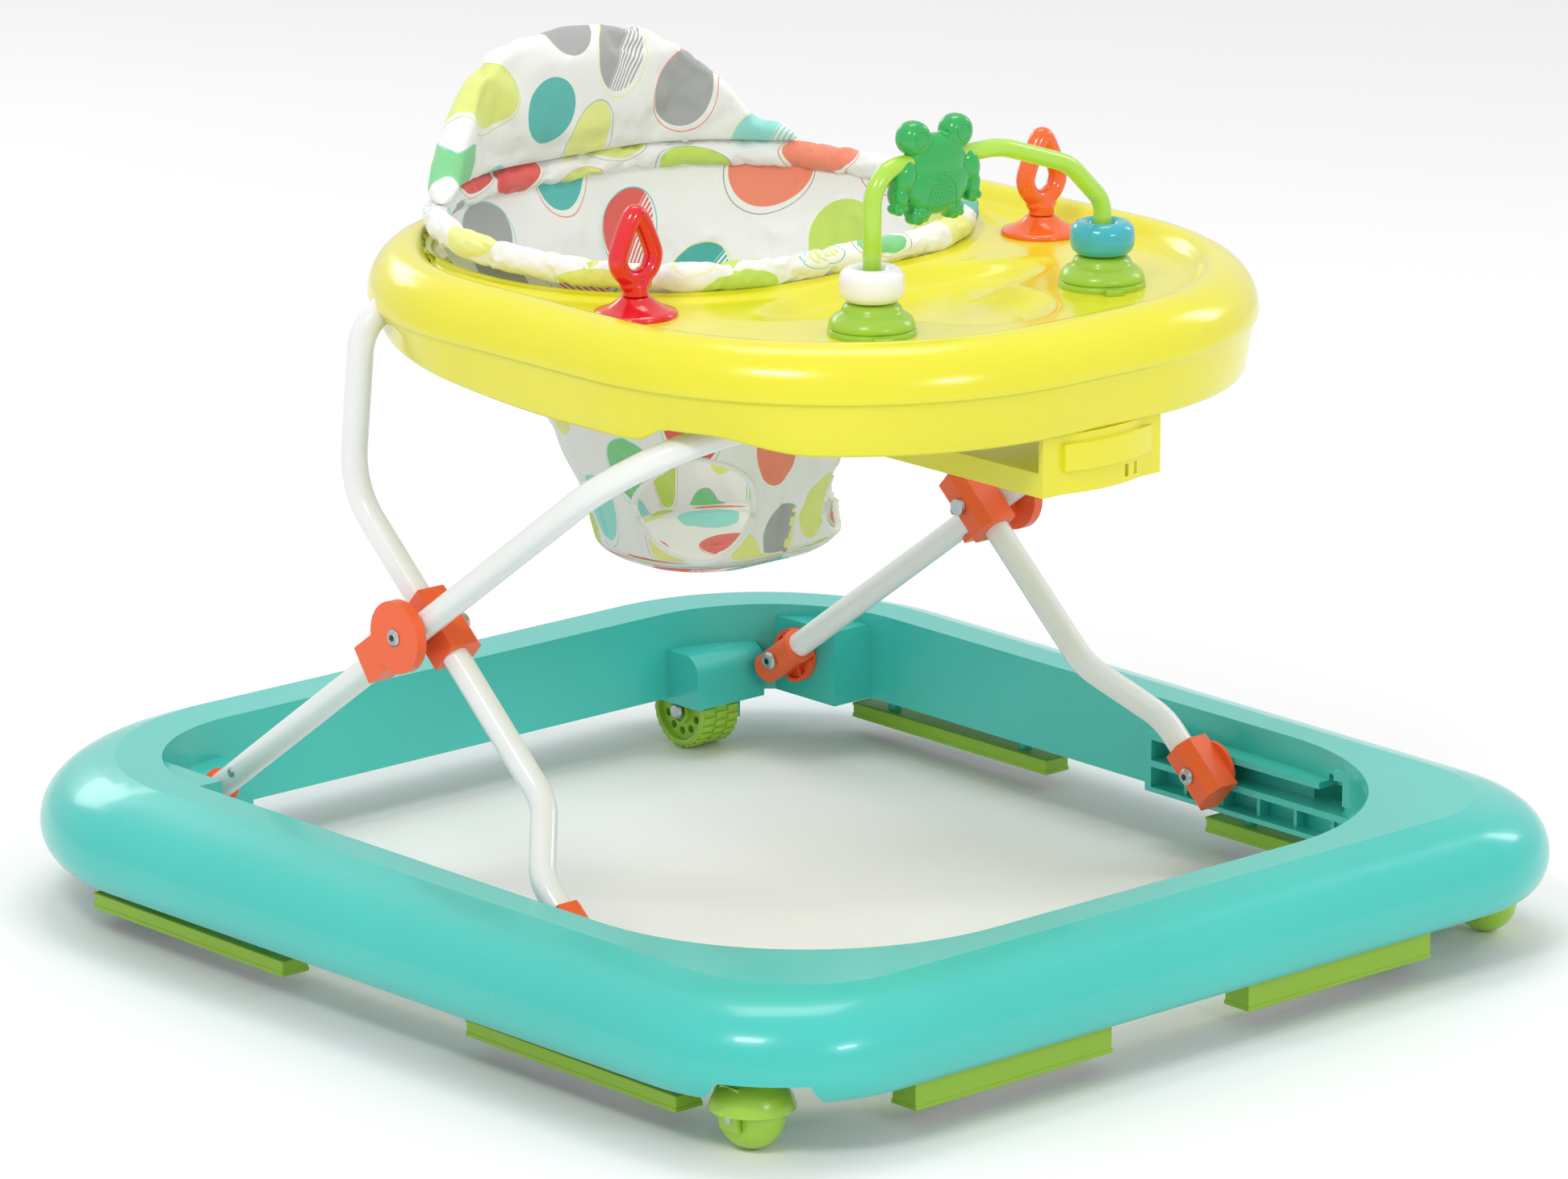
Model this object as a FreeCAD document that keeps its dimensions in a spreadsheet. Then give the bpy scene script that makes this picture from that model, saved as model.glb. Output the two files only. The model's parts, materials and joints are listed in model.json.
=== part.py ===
import FreeCAD, Part
import math
import os

import Sketcher

os.makedirs("parts", exist_ok=True)

V = FreeCAD.Vector
doc = FreeCAD.newDocument("BabyWalker")

# ---------------------------------------------------------------------------
# Driving dimensions (mm).  X = across (left of the child is +X), Y = along
# (the child faces -Y), Z = up, origin on the floor under the middle.
# ---------------------------------------------------------------------------
DIMENSIONS = {
    # base ring
    "BaseHalfFront": 322, "BaseHalfRear": 334, "BaseHalfLength": 354,
    "BaseBottom": 33, "BaseTop": 87, "BaseWall": 3,
    "InnerHalfFront": 262, "InnerHalfRear": 267, "InnerFrontY": -300, "InnerRearY": 291,
    "InnerFrontRadius": 150, "InnerRearRadius": 100,
    # fold linkage
    "PivotY": 242, "PivotZ": 59.6, "CrossY": 50, "CrossZ": 197.6, "FootY": -104,
    "TrayPivotY": 112, "TrayPivotZ": 368, "BarY": -145,
    "TubeDia": 15.2, "TubeWall": 1.2, "OuterTubeX": 222.5, "InnerTubeX": 206, "FootX": 237,
    "OuterBend": 70, "TrayPivotInnerX": 164,
    # slot that the feet slide in
    "TrackFaceX": 250, "SlotRearY": -62, "SlotFrontY": -200, "SlotHalf": 6.2, "RollerDia": 10.4,
    # stop pads
    "PadBottom": 10, "PadWidth": 18.5, "SidePadLength": 172, "SidePadHeight": 9.5,
    "FrontPadLength": 144, "FrontPadHeight": 22, "PadWall": 2, "PegDia": 8,
    # wheels
    "CasterX": 279, "CasterStemY": -304, "CasterTrail": 12, "CasterDia": 38, "CasterWidth": 27,
    "RearWheelX": 180, "RearWheelY": 290, "RearWheelDia": 48, "RearWheelWidth": 30,
    "AxleDia": 6,
    # tray
    "TrayCentreY": -29.5, "TrayHalfWidth": 217, "TrayHalfLength": 243, "TrayRidgeZ": 367,
    "TraySkirtZ": 336, "TrayRearSkirtZ": 357, "TrayCrownZ": 395, "TrayDeckZ": 384, "TrayWall": 3,
    "SeatHoleY": 62, "SeatHoleHalfWidth": 156, "SeatHoleHalfLength": 124, "SeatHoleRadius": 118,
    "TrayCornerRadius": 184,
    # toys
    "ToyX": 152, "ToyY": -56, "ToyFlangeDia": 46, "ArchX": 86, "ArchY": -173, "RodDia": 10,
    "ArchTopZ": 474,
    # height housing under the tray
    "HousingHalfWidth": 44, "HousingFrontY": -267, "HousingRearY": -136, "HousingBottomZ": 303,
    # seat
    "RollRadius": 8.5, "RollZ": 400, "RollTilt": 2.6, "SeatTopZ": 496, "PouchBottomZ": 207, "FabricThickness": 3,
}

sheet = doc.addObject("Spreadsheet::Sheet", "Dimensions")
for row, (alias, value) in enumerate(DIMENSIONS.items(), start=1):
    sheet.set(f"A{row}", alias)
    sheet.set(f"B{row}", str(value))
    sheet.setAlias(f"B{row}", alias)
doc.recompute()


def dim(alias):
    return float(sheet.get(alias))


NODES = []


def add_node(obj, label):
    """Registers a finished object as a node, which is exported under its label."""
    obj.Label = label
    NODES.append(obj)
    return obj


def shape_node(label, shape, place=None):
    """A node whose shape is worked out from the sheet by Part's own functions."""
    obj = doc.addObject("Part::Feature", label)
    obj.Shape = shape
    if place is not None:
        obj.Placement = place
    return add_node(obj, label)


def unit(vector):
    return vector * (1.0 / vector.Length)


# ---------------------------------------------------------------------------
# Shape helpers
# ---------------------------------------------------------------------------
def rounded_wire(points, radii, closed):
    """Straight runs through the points, joined by tangent arcs of the given radii."""
    count = len(points)
    spans = []
    for i, (corner, radius) in enumerate(zip(points, radii)):
        if not closed and i in (0, count - 1):
            spans.append((corner, None, corner))
            continue
        back = unit(points[i - 1] - corner)
        ahead = unit(points[(i + 1) % count] - corner)
        half = back.getAngle(ahead) / 2
        reach = radius / math.tan(half)
        inward = unit(back + ahead)
        middle = corner + inward * (radius / math.sin(half) - radius)
        spans.append((corner + back * reach, middle, corner + ahead * reach))
    edges = []
    for i in range(count):
        start, middle, end = spans[i]
        if middle is not None:
            edges.append(Part.Arc(start, middle, end).toShape())
        if closed or i < count - 1:
            following = spans[(i + 1) % count][0]
            if (following - end).Length > 1e-6:
                edges.append(Part.LineSegment(end, following).toShape())
    return Part.Wire(edges)


def ring_outline(level, half_front, half_rear, y_front, y_rear, r_front, r_rear):
    """Rounded, slightly tapered rectangle of the base ring at one level."""
    corners = [
        V(half_front, y_front, level), V(half_rear, y_rear, level),
        V(-half_rear, y_rear, level), V(-half_front, y_front, level),
    ]
    return rounded_wire(corners, [r_front, r_rear, r_rear, r_front], True)


def oval(level, half_width, half_length, centre_y, radius):
    """Soft rectangle with large corner arcs."""
    corners = [
        V(half_width, centre_y - half_length, level), V(half_width, centre_y + half_length, level),
        V(-half_width, centre_y + half_length, level), V(-half_width, centre_y - half_length, level),
    ]
    return rounded_wire(corners, [radius] * 4, True)


def loft(wires, ruled=False):
    return Part.makeLoft(wires, True, ruled)


def prism(wire, height):
    return Part.Face(wire).extrude(V(0, 0, height))


def box(x0, x1, y0, y1, z0, z1):
    low = V(min(x0, x1), min(y0, y1), min(z0, z1))
    return Part.makeBox(abs(x1 - x0), abs(y1 - y0), abs(z1 - z0), low)


def rod(start, end, radius):
    axis = end - start
    return Part.makeCylinder(radius, axis.Length, start, axis)


def tube_along(wire, radius, bore=None):
    """A round tube swept along a wire, hollow when a bore is given."""
    edge = wire.Edges[0]
    start = edge.valueAt(edge.FirstParameter)
    heading = edge.tangentAt(edge.FirstParameter)

    def swept(size):
        section = Part.Wire([Part.makeCircle(size, start, heading)])
        return wire.makePipeShell([section], True, True)

    solid = swept(radius)
    return solid.cut(swept(bore)) if bore else solid


def arm_frame(x, y, z, angle):
    """Placement whose local X runs along an arm, local Y across it and local Z outboard."""
    along = V(0, math.cos(angle), math.sin(angle))
    outboard = V(1, 0, 0)
    across = outboard.cross(along)
    matrix = FreeCAD.Matrix(
        along.x, across.x, outboard.x, x,
        along.y, across.y, outboard.y, y,
        along.z, across.z, outboard.z, z,
        0, 0, 0, 1)
    return FreeCAD.Placement(matrix)


def mirrored(shape, side):
    return shape if side > 0 else shape.mirror(V(0, 0, 0), V(1, 0, 0))


SIDES = (("left", 1), ("right", -1))

# points of the fold linkage, seen from the side
PIVOT = V(0, dim("PivotY"), dim("PivotZ"))
CROSS = V(0, dim("CrossY"), dim("CrossZ"))
FOOT = V(0, dim("FootY"), dim("PivotZ"))
TRAY_PIVOT = V(0, dim("TrayPivotY"), dim("TrayPivotZ"))
OUTER_DIRECTION = unit(CROSS - PIVOT)
INNER_DIRECTION = unit(CROSS - FOOT)
BAR = CROSS + OUTER_DIRECTION * ((dim("BarY") - CROSS.y) / OUTER_DIRECTION.y)
TUBE_R = dim("TubeDia") / 2
TUBE_FIT = TUBE_R + 0.05


def at_x(x, point):
    return V(x, point.y, point.z)


# ---------------------------------------------------------------------------
# Base ring
# ---------------------------------------------------------------------------
PAD_PLACES = {
    "side_rear": (302 - 9.25, 158), "side_front": (291.5 - 9.25, -160), "front": (124, -319),
}


def side_level_outline(level, inset_side, inset_end, corner_cut, extra=0.0):
    """Outer outline of the ring where the wall is set back from its widest line."""
    half_front = dim("BaseHalfFront") - inset_side - extra
    half_rear = dim("BaseHalfRear") - inset_side - extra
    reach = dim("BaseHalfLength") - inset_end - extra
    return ring_outline(level, half_front, half_rear, -reach, reach, 98 - corner_cut, 150 - corner_cut)


def ring_body(extra, bottom, top):
    """Outer form of the ring: tucked in at the foot, widest at mid height, domed on top."""
    rise = dim("BaseTop") - dim("BaseBottom")
    levels = [
        (bottom, 8, 8, 6), (dim("BaseBottom") + 0.42 * rise, 0, 0, 0),
        (dim("BaseBottom") + 0.70 * rise, 7, 6, 5), (dim("BaseBottom") + 0.90 * rise, 23, 18, 14),
        (top, 42, 32, 24),
    ]
    return loft([side_level_outline(z, s, e, c, extra) for z, s, e, c in levels])


def inner_outline(level, grow):
    return ring_outline(
        level, dim("InnerHalfFront") + grow, dim("InnerHalfRear") + grow,
        dim("InnerFrontY") - grow, dim("InnerRearY") + grow,
        dim("InnerFrontRadius") + grow, dim("InnerRearRadius") + grow)


def pad_centres(side):
    x_rear, y_rear = PAD_PLACES["side_rear"]
    x_front, y_front = PAD_PLACES["side_front"]
    x_end, y_end = PAD_PLACES["front"]
    return [(side * x_rear, y_rear, False), (side * x_front, y_front, False), (side * x_end, y_end, True)]


def peg_places(x, y, lengthwise_x):
    spread = 44 if lengthwise_x else 58
    step = V(spread, 0, 0) if lengthwise_x else V(0, spread, 0)
    return [V(x, y, 0) + step, V(x, y, 0) - step]


def pivot_box(wall, side):
    """Corner block that carries the rear pivot, hollow and open at the bottom."""
    grow = -wall
    x_face = dim("TrackFaceX") - 14 + wall
    solid = box(x_face, 275, PIVOT.y - 33 - grow, PIVOT.y + 28 + grow, 30 if wall else 33, 80 + grow)
    return mirrored(solid, side)


def wheel_pod(wall, side):
    """Bulge of the rear inner wall that covers a rear wheel."""
    x0 = dim("RearWheelX") - 8 + wall
    x1 = dim("RearWheelX") + dim("RearWheelWidth") + 16 - wall
    low = 20 if wall else 31
    y0 = dim("RearWheelY") - 28 + wall
    crown = Part.makeCylinder(12, x1 - x0, V(x0, y0 + 12, 52 - wall), V(1, 0, 0))
    pod = box(x0, x1, y0, 300, low, 52 - wall).fuse(box(x0, x1, y0 + 12, 300, low, 64 - wall))
    return mirrored(pod.fuse(crown), side)


def slot_track(side):
    """Raised frame on the inner wall with the slot that the foot roller runs in."""
    face = dim("TrackFaceX")
    rear = dim("SlotRearY") + 16
    front = dim("SlotFrontY") - 25
    half = dim("SlotHalf")
    z = dim("PivotZ")
    frame = box(face, 272, rear, front, z + half, z + half + 4)
    frame = frame.fuse(box(face, 272, rear, front, z - half - 4, z - half))
    frame = frame.fuse(box(face, 272, rear, rear - 5, 34, z + half + 4))
    frame = frame.fuse(box(face, 272, front + 26, front, z, z + half + 14))
    frame = frame.fuse(box(face, 272, rear, front, 34, 37))
    for step in range(1, 6):
        y = rear + (front - rear) * step / 6
        frame = frame.fuse(box(face + 4, 272, y - 1.2, y + 1.2, 34, z - half))
    return mirrored(frame, side)


def slot_space(side):
    face = dim("TrackFaceX")
    half = dim("SlotHalf")
    z = dim("PivotZ")
    rear = dim("SlotRearY")
    front = dim("SlotFrontY")
    run = box(face - 1, 265, rear, front, z - half, z + half)
    run = run.fuse(Part.makeCylinder(half, 266 - face, V(face - 1, rear, z), V(1, 0, 0)))
    run = run.fuse(Part.makeCylinder(half, 266 - face, V(face - 1, front, z), V(1, 0, 0)))
    run = run.fuse(box(face - 1, 265, front + half * 2, front - half, z, z + half + 8))
    return mirrored(run, side)


def shell_inside(side):
    """Pegs for the pads, sleeve of the caster stem and leg of the rear wheel."""
    top = dim("BaseTop")
    leg_x = dim("RearWheelX") + dim("RearWheelWidth") + 4
    y = dim("RearWheelY")
    parts = box(side * leg_x, side * (leg_x + 9), y - 9, y + 9, 14, top)
    for x, y, along_x in pad_centres(side):
        floor = dim("PadBottom") + dim("PadWall") + 2
        for peg in peg_places(x, y, along_x):
            parts = parts.fuse(Part.makeCylinder(dim("PegDia") / 2, top - floor, V(peg.x, peg.y, floor)))
    stem = V(side * dim("CasterX"), dim("CasterStemY"), 45)
    return parts.fuse(Part.makeCylinder(9, top - 45, stem))


def make_base_shell():
    bottom = dim("BaseBottom")
    top = dim("BaseTop")
    wall = dim("BaseWall")
    ring = ring_body(0, bottom, top).cut(prism(inner_outline(bottom - 5, 0), 100))
    cavity = ring_body(wall, bottom - 0.01, top - wall).cut(prism(inner_outline(bottom - 5, wall), 100))
    body = ring.cut(cavity)
    below = prism(ring_outline(0, 320, 325, -345, 345, 90, 140), bottom + 1)
    allowed = ring.fuse(below)
    for _, side in SIDES:
        body = body.fuse(shell_inside(side).common(allowed))
        body = body.fuse(pivot_box(0, side)).fuse(wheel_pod(0, side).common(ring_reach()))
        body = body.fuse(slot_track(side))
    for _, side in SIDES:
        body = body.cut(pivot_box(wall, side)).cut(wheel_pod(wall, side)).cut(slot_space(side))
        leg_x = dim("RearWheelX") + dim("RearWheelWidth") + 4
        y = dim("RearWheelY")
        leg = box(side * leg_x, side * (leg_x + 9), y - 9, y + 9, 14, 70)
        body = body.fuse(leg)
        stem = V(side * dim("CasterX"), dim("CasterStemY"), 45)
        body = body.cut(Part.makeCylinder(5.05, 25, stem - V(0, 0, 1)))
        # room for the whole turn of the caster hood
        body = body.cut(Part.makeCylinder(33.5, 14.6, stem - V(0, 0, 15)))
        axle = V(side * leg_x, dim("RearWheelY"), dim("RearWheelDia") / 2)
        body = body.cut(Part.makeCylinder(dim("AxleDia") / 2, 20, axle - V(side, 0, 0), V(side, 0, 0)))
        hole = V(side * (dim("TrackFaceX") - 16), PIVOT.y, PIVOT.z)
        body = body.cut(Part.makeCylinder(3, 10, hole, V(side, 0, 0)))
    return body.removeSplitter()


def ring_reach():
    """Everything inside the widest outline of the ring."""
    return prism(ring_outline(0, 320, 325, -345, 345, 90, 140), 100)


shape_node("base_shell", make_base_shell())


# ---------------------------------------------------------------------------
# Stop pads: rubber channels pressed over pegs of the base
# ---------------------------------------------------------------------------
def add_rectangle(sketch, width, length):
    """A centred rectangle whose sides are bound to the sheet."""
    half_w = dim(width) / 2 if isinstance(width, str) else width / 2
    half_l = dim(length) / 2 if isinstance(length, str) else length / 2
    corners = [V(-half_w, -half_l, 0), V(half_w, -half_l, 0), V(half_w, half_l, 0), V(-half_w, half_l, 0)]
    for i in range(4):
        sketch.addGeometry(Part.LineSegment(corners[i], corners[(i + 1) % 4]), False)
    for i in range(4):
        sketch.addConstraint(Sketcher.Constraint("Coincident", i, 2, (i + 1) % 4, 1))
    for i in (0, 2):
        sketch.addConstraint(Sketcher.Constraint("Horizontal", i))
    for i in (1, 3):
        sketch.addConstraint(Sketcher.Constraint("Vertical", i))
    sketch.addConstraint(Sketcher.Constraint("Symmetric", 0, 1, 1, 2, -1, 1))
    wide = sketch.addConstraint(Sketcher.Constraint("Distance", 0, half_w * 2))
    long = sketch.addConstraint(Sketcher.Constraint("Distance", 1, half_l * 2))
    return wide, long


def plane_of(body, role):
    return next(f for f in body.Origin.OriginFeatures if f.Role == role)


def make_pad(label, x, y, lengthwise_x):
    body = doc.addObject("PartDesign::Body", label)
    length = "FrontPadLength" if lengthwise_x else "SidePadLength"
    height = "FrontPadHeight" if lengthwise_x else "SidePadHeight"
    outline = body.newObject("Sketcher::SketchObject", label + "_outline")
    outline.AttachmentSupport = (plane_of(body, "XY_Plane"), [""])
    outline.MapMode = "FlatFace"
    wide, long = add_rectangle(outline, "PadWidth", length)
    outline.setExpression(f"Constraints[{wide}]", "Dimensions.PadWidth")
    outline.setExpression(f"Constraints[{long}]", "Dimensions." + length)
    block = body.newObject("PartDesign::Pad", label + "_block")
    block.Profile = outline
    block.setExpression("Length", "Dimensions." + height)
    hollow = body.newObject("Sketcher::SketchObject", label + "_hollow")
    hollow.AttachmentSupport = (plane_of(body, "XY_Plane"), [""])
    hollow.MapMode = "FlatFace"
    hollow.AttachmentOffset = FreeCAD.Placement(V(0, 0, dim("PadWall") + 2), FreeCAD.Rotation())
    wide, long = add_rectangle(hollow, dim("PadWidth") - 2 * dim("PadWall"), dim(length) - 2 * dim("PadWall"))
    hollow.setExpression(f"Constraints[{wide}]", "Dimensions.PadWidth - 2 * Dimensions.PadWall")
    hollow.setExpression(f"Constraints[{long}]", f"Dimensions.{length} - 2 * Dimensions.PadWall")
    pocket = body.newObject("PartDesign::Pocket", label + "_pocket")
    pocket.Profile = hollow
    pocket.Type = 1
    pocket.Reversed = True
    body.Tip = pocket
    turn = 90 if lengthwise_x else 0
    body.Placement = FreeCAD.Placement(V(x, y, dim("PadBottom")), FreeCAD.Rotation(V(0, 0, 1), turn))
    return add_node(body, label)


for side_name, side in SIDES:
    names = ("side_rear", "side_front", "front")
    for place, (x, y, along_x) in zip(names, pad_centres(side)):
        make_pad(f"stop_pad_{place}_{side_name}", x, y, along_x)


# ---------------------------------------------------------------------------
# Turned parts: revolved profiles as PartDesign bodies
# ---------------------------------------------------------------------------
def revolved(label, profile, place):
    """A body turned about its local Z axis from (radius, height) points."""
    body = doc.addObject("PartDesign::Body", label)
    sketch = body.newObject("Sketcher::SketchObject", label + "_profile")
    sketch.AttachmentSupport = (plane_of(body, "XZ_Plane"), [""])
    sketch.MapMode = "FlatFace"
    count = len(profile)
    for i in range(count):
        r0, z0 = profile[i]
        r1, z1 = profile[(i + 1) % count]
        sketch.addGeometry(Part.LineSegment(V(r0, z0, 0), V(r1, z1, 0)), False)
    turned = body.newObject("PartDesign::Revolution", label + "_turned")
    turned.Profile = sketch
    turned.ReferenceAxis = (sketch, ["V_Axis"])
    turned.Angle = 360
    body.Tip = turned
    body.Placement = place
    return add_node(body, label)


def facing_x(x, y, z, side):
    """Placement that turns local Z to point outboard."""
    return FreeCAD.Placement(V(x, y, z), FreeCAD.Rotation(V(0, 0, 1), V(side, 0, 0)))


def bolt_profile(shank, length, head, head_length):
    """Pan head below zero, shank above, on the axis."""
    return [
        (0, -head_length), (head * 0.75, -head_length), (head, -head_length * 0.45),
        (head, 0), (shank, 0), (shank, length), (0, length),
    ]


def rivet_profile(shank, length, head, head_length, end_length):
    """Bolt whose far end carries a thick collar once it is fitted."""
    return bolt_profile(shank, length, head, head_length)[:6] + [
        (head, length), (head, length + end_length), (0, length + end_length)]


def wheel_profile(radius, width, bore, round_edge, hub):
    return [
        (bore, 0), (hub, 0), (hub + 2, 2), (radius - 7, 2), (radius - 5, 0),
        (radius - round_edge, 0), (radius, round_edge), (radius, width - round_edge),
        (radius - round_edge, width), (radius - 5, width), (radius - 7, width - 2),
        (hub + 2, width - 2), (hub, width), (bore, width),
    ]


def dome_profile(radius, width, bore):
    """Ball-shaped twin wheel with flattened ends."""
    points = [(bore, 0)]
    steps = 10
    for i in range(steps + 1):
        t = -1 + 2 * i / steps
        reach = radius * math.sqrt(1 - (0.78 * t) ** 2)
        points.append((reach, width * (t + 1) / 2))
    points.append((bore, width))
    return points


for side_name, side in SIDES:
    wheel_x = dim("RearWheelX")
    axle_r = dim("AxleDia") / 2
    rear_axis = (dim("RearWheelY"), dim("RearWheelDia") / 2)
    revolved(f"rear_wheel_{side_name}",
             wheel_profile(dim("RearWheelDia") / 2, dim("RearWheelWidth"), axle_r + 0.05, 2, 8),
             facing_x(side * wheel_x, *rear_axis, side))
    revolved(f"rear_axle_{side_name}",
             bolt_profile(axle_r, dim("RearWheelWidth") + 14, 5, 2.4),
             facing_x(side * (wheel_x - 0.3), *rear_axis, side))

    # front caster: swivel hood with stem, wheel and axle
    wheel_y = dim("CasterStemY") + dim("CasterTrail")
    wheel_z = dim("CasterDia") / 2
    half = dim("CasterWidth") / 2
    centre = V(side * dim("CasterX"), wheel_y, wheel_z)
    hood = Part.makeSphere(24, centre).cut(Part.makeSphere(21.2, centre))
    hood = hood.cut(box(-400, 400, -400, 400, -10, wheel_z + 4)).cut(
        box(centre.x - 40, centre.x + 40, wheel_y + 12, wheel_y + 40, 0, wheel_z + 13))
    stem_foot = V(side * dim("CasterX"), dim("CasterStemY"), 0)
    neck = Part.makeCylinder(8, 44.7 - 39, stem_foot + V(0, 0, 39))
    stem = Part.makeCylinder(5, 28, stem_foot + V(0, 0, 41))
    hood = hood.fuse(neck.cut(Part.makeSphere(21.2, centre))).fuse(stem.cut(Part.makeSphere(21.2, centre)))
    # the two cheeks that hold the axle
    for cheek in (-1, 1):
        x = centre.x + cheek * (half + 0.5)
        plate = box(x, x + cheek * 2.5, wheel_y - 7, wheel_y + 7, wheel_z - 6, wheel_z + 18)
        hood = hood.fuse(plate.cut(Part.makeSphere(21.2, centre).cut(
            box(x - 9, x + 9, wheel_y - 9, wheel_y + 9, 0, 99))))
    bore = Part.makeCylinder(2.5, 60, centre - V(30, 0, 0), V(1, 0, 0))
    shape_node(f"caster_fork_{side_name}", hood.cut(bore).removeSplitter())
    revolved(f"caster_wheel_{side_name}",
             dome_profile(dim("CasterDia") / 2, dim("CasterWidth"), 2.55),
             facing_x(centre.x - side * half, wheel_y, wheel_z, side))
    revolved(f"caster_axle_{side_name}",
             bolt_profile(2.5, dim("CasterWidth") + 6.5, 4.5, 1.6),
             facing_x(centre.x - side * (half + 3.1), wheel_y, wheel_z, side))


# ---------------------------------------------------------------------------
# Outer frame: one U-shaped tube, its rear sockets, cross saddles and bolts
# ---------------------------------------------------------------------------
OUTER_X = dim("OuterTubeX")
INNER_X = dim("InnerTubeX")
FOOT_X = dim("FootX")
SOCKET_DEPTH = 6
HINGE_BOLT_R = 2.75

outer_start = PIVOT + OUTER_DIRECTION * SOCKET_DEPTH
outer_wire = rounded_wire(
    [at_x(-OUTER_X, outer_start), at_x(-OUTER_X, BAR), at_x(OUTER_X, BAR), at_x(OUTER_X, outer_start)],
    [0, dim("OuterBend"), dim("OuterBend"), 0], False)
outer_tube = tube_along(outer_wire, TUBE_R, TUBE_R - dim("TubeWall"))
for _, side in SIDES:
    outer_tube = outer_tube.cut(
        Part.makeCylinder(HINGE_BOLT_R, 40, at_x(side * (OUTER_X - 20), CROSS), V(side, 0, 0)))
BUTTON = PIVOT + OUTER_DIRECTION * 42
for _, side in SIDES:
    outer_tube = outer_tube.cut(
        Part.makeCylinder(3, 6, V(side * (OUTER_X + 3), BUTTON.y, BUTTON.z), V(side, 0, 0)))
shape_node("outer_frame_tube", outer_tube)

OUTER_ANGLE = math.atan2(OUTER_DIRECTION.z, OUTER_DIRECTION.y)
INNER_ANGLE = math.atan2(INNER_DIRECTION.z, INNER_DIRECTION.y)

for side_name, side in SIDES:
    # rear socket: sleeve round the tube end with a ribbed pivot disc outboard
    place = arm_frame(OUTER_X, PIVOT.y, PIVOT.z, OUTER_ANGLE)
    sleeve = Part.makeCylinder(9.5, 36, V(-16, 0, 0), V(1, 0, 0))
    sleeve = sleeve.fuse(Part.makeCylinder(10.6, 3, V(17, 0, 0), V(1, 0, 0)))
    sleeve = sleeve.cut(Part.makeCylinder(TUBE_R, 30, V(SOCKET_DEPTH, 0, 0), V(1, 0, 0)))
    disc = Part.makeCylinder(16.5, 2, V(0, 0, 11.2))
    rim = Part.makeCylinder(16.5, 3.5, V(0, 0, 8)).cut(Part.makeCylinder(14.3, 9, V(0, 0, 7)))
    socket = sleeve.fuse(disc).fuse(rim.cut(box(-20, 20, -9.4, 9.4, 7, 11)))
    socket = socket.fuse(box(-12, 12, -8.6, 8.6, 4, 12).cut(
        Part.makeCylinder(TUBE_R, 30, V(SOCKET_DEPTH, 0, 0), V(1, 0, 0))))
    for rib in (-1, 1):
        socket = socket.fuse(box(-1, 1, rib * 8, rib * 15, 8.2, 12))
    socket = socket.cut(Part.makeCylinder(3.05, 60, V(0, 0, -30)))
    socket.Placement = place
    shape_node(f"pivot_socket_{side_name}", mirrored(socket, side))
    revolved(f"pivot_bolt_{side_name}", bolt_profile(3, 27, 5.5, 3),
             facing_x(side * (OUTER_X - 9.7), PIVOT.y, PIVOT.z, side))

    # cross hinge, outer half: round cap and saddle that clasps the outer tube
    place = arm_frame(OUTER_X, CROSS.y, CROSS.z, OUTER_ANGLE)
    cap = Part.makeCylinder(20.5, 6.5, V(0, 0, 8.5))
    saddle = box(-40, 0, -11, 11, -4, 12).cut(box(-41, 9, -TUBE_FIT, TUBE_FIT, -6, 0))
    clasp = cap.fuse(saddle).cut(Part.makeCylinder(TUBE_R, 80, V(-60, 0, 0), V(1, 0, 0)))
    clasp = clasp.cut(Part.makeCylinder(HINGE_BOLT_R, 60, V(0, 0, -30)))
    clasp.Placement = place
    shape_node(f"hinge_clasp_{side_name}", mirrored(clasp, side))
    revolved(f"hinge_bolt_{side_name}", rivet_profile(HINGE_BOLT_R, 47.5, 5, 1.6, 3),
             facing_x(side * (OUTER_X + 15), CROSS.y, CROSS.z, -side))

    # snap button that stands out of the outer tube just above its socket
    revolved(f"snap_button_{side_name}",
             [(0, 0), (4.1, 0), (4.1, 1), (2.9, 1), (2.9, 4.6), (1.9, 5.4), (0, 5.4)],
             facing_x(side * (OUTER_X + 3.2), BUTTON.y, BUTTON.z, side))


# ---------------------------------------------------------------------------
# Inner frame: two bent tubes, their hinge blocks and sliding feet
# ---------------------------------------------------------------------------
def inner_route(side):
    upper_lean = V(0, -0.115, 1)
    knee_y = (TRAY_PIVOT.y + 0.115 * (TRAY_PIVOT.z - CROSS.z + CROSS.y * 0.896)) / (1 + 0.115 * 0.896)
    knee = CROSS + INNER_DIRECTION * ((knee_y - CROSS.y) / INNER_DIRECTION.y)
    points = [
        at_x(FOOT_X, FOOT + INNER_DIRECTION * 4), at_x(FOOT_X, FOOT + INNER_DIRECTION * 40),
        at_x(INNER_X, FOOT + INNER_DIRECTION * 86), at_x(INNER_X, knee),
        at_x(INNER_X, TRAY_PIVOT), at_x(dim("TrayPivotInnerX"), TRAY_PIVOT),
    ]
    return [V(side * p.x, p.y, p.z) for p in points]


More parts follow.
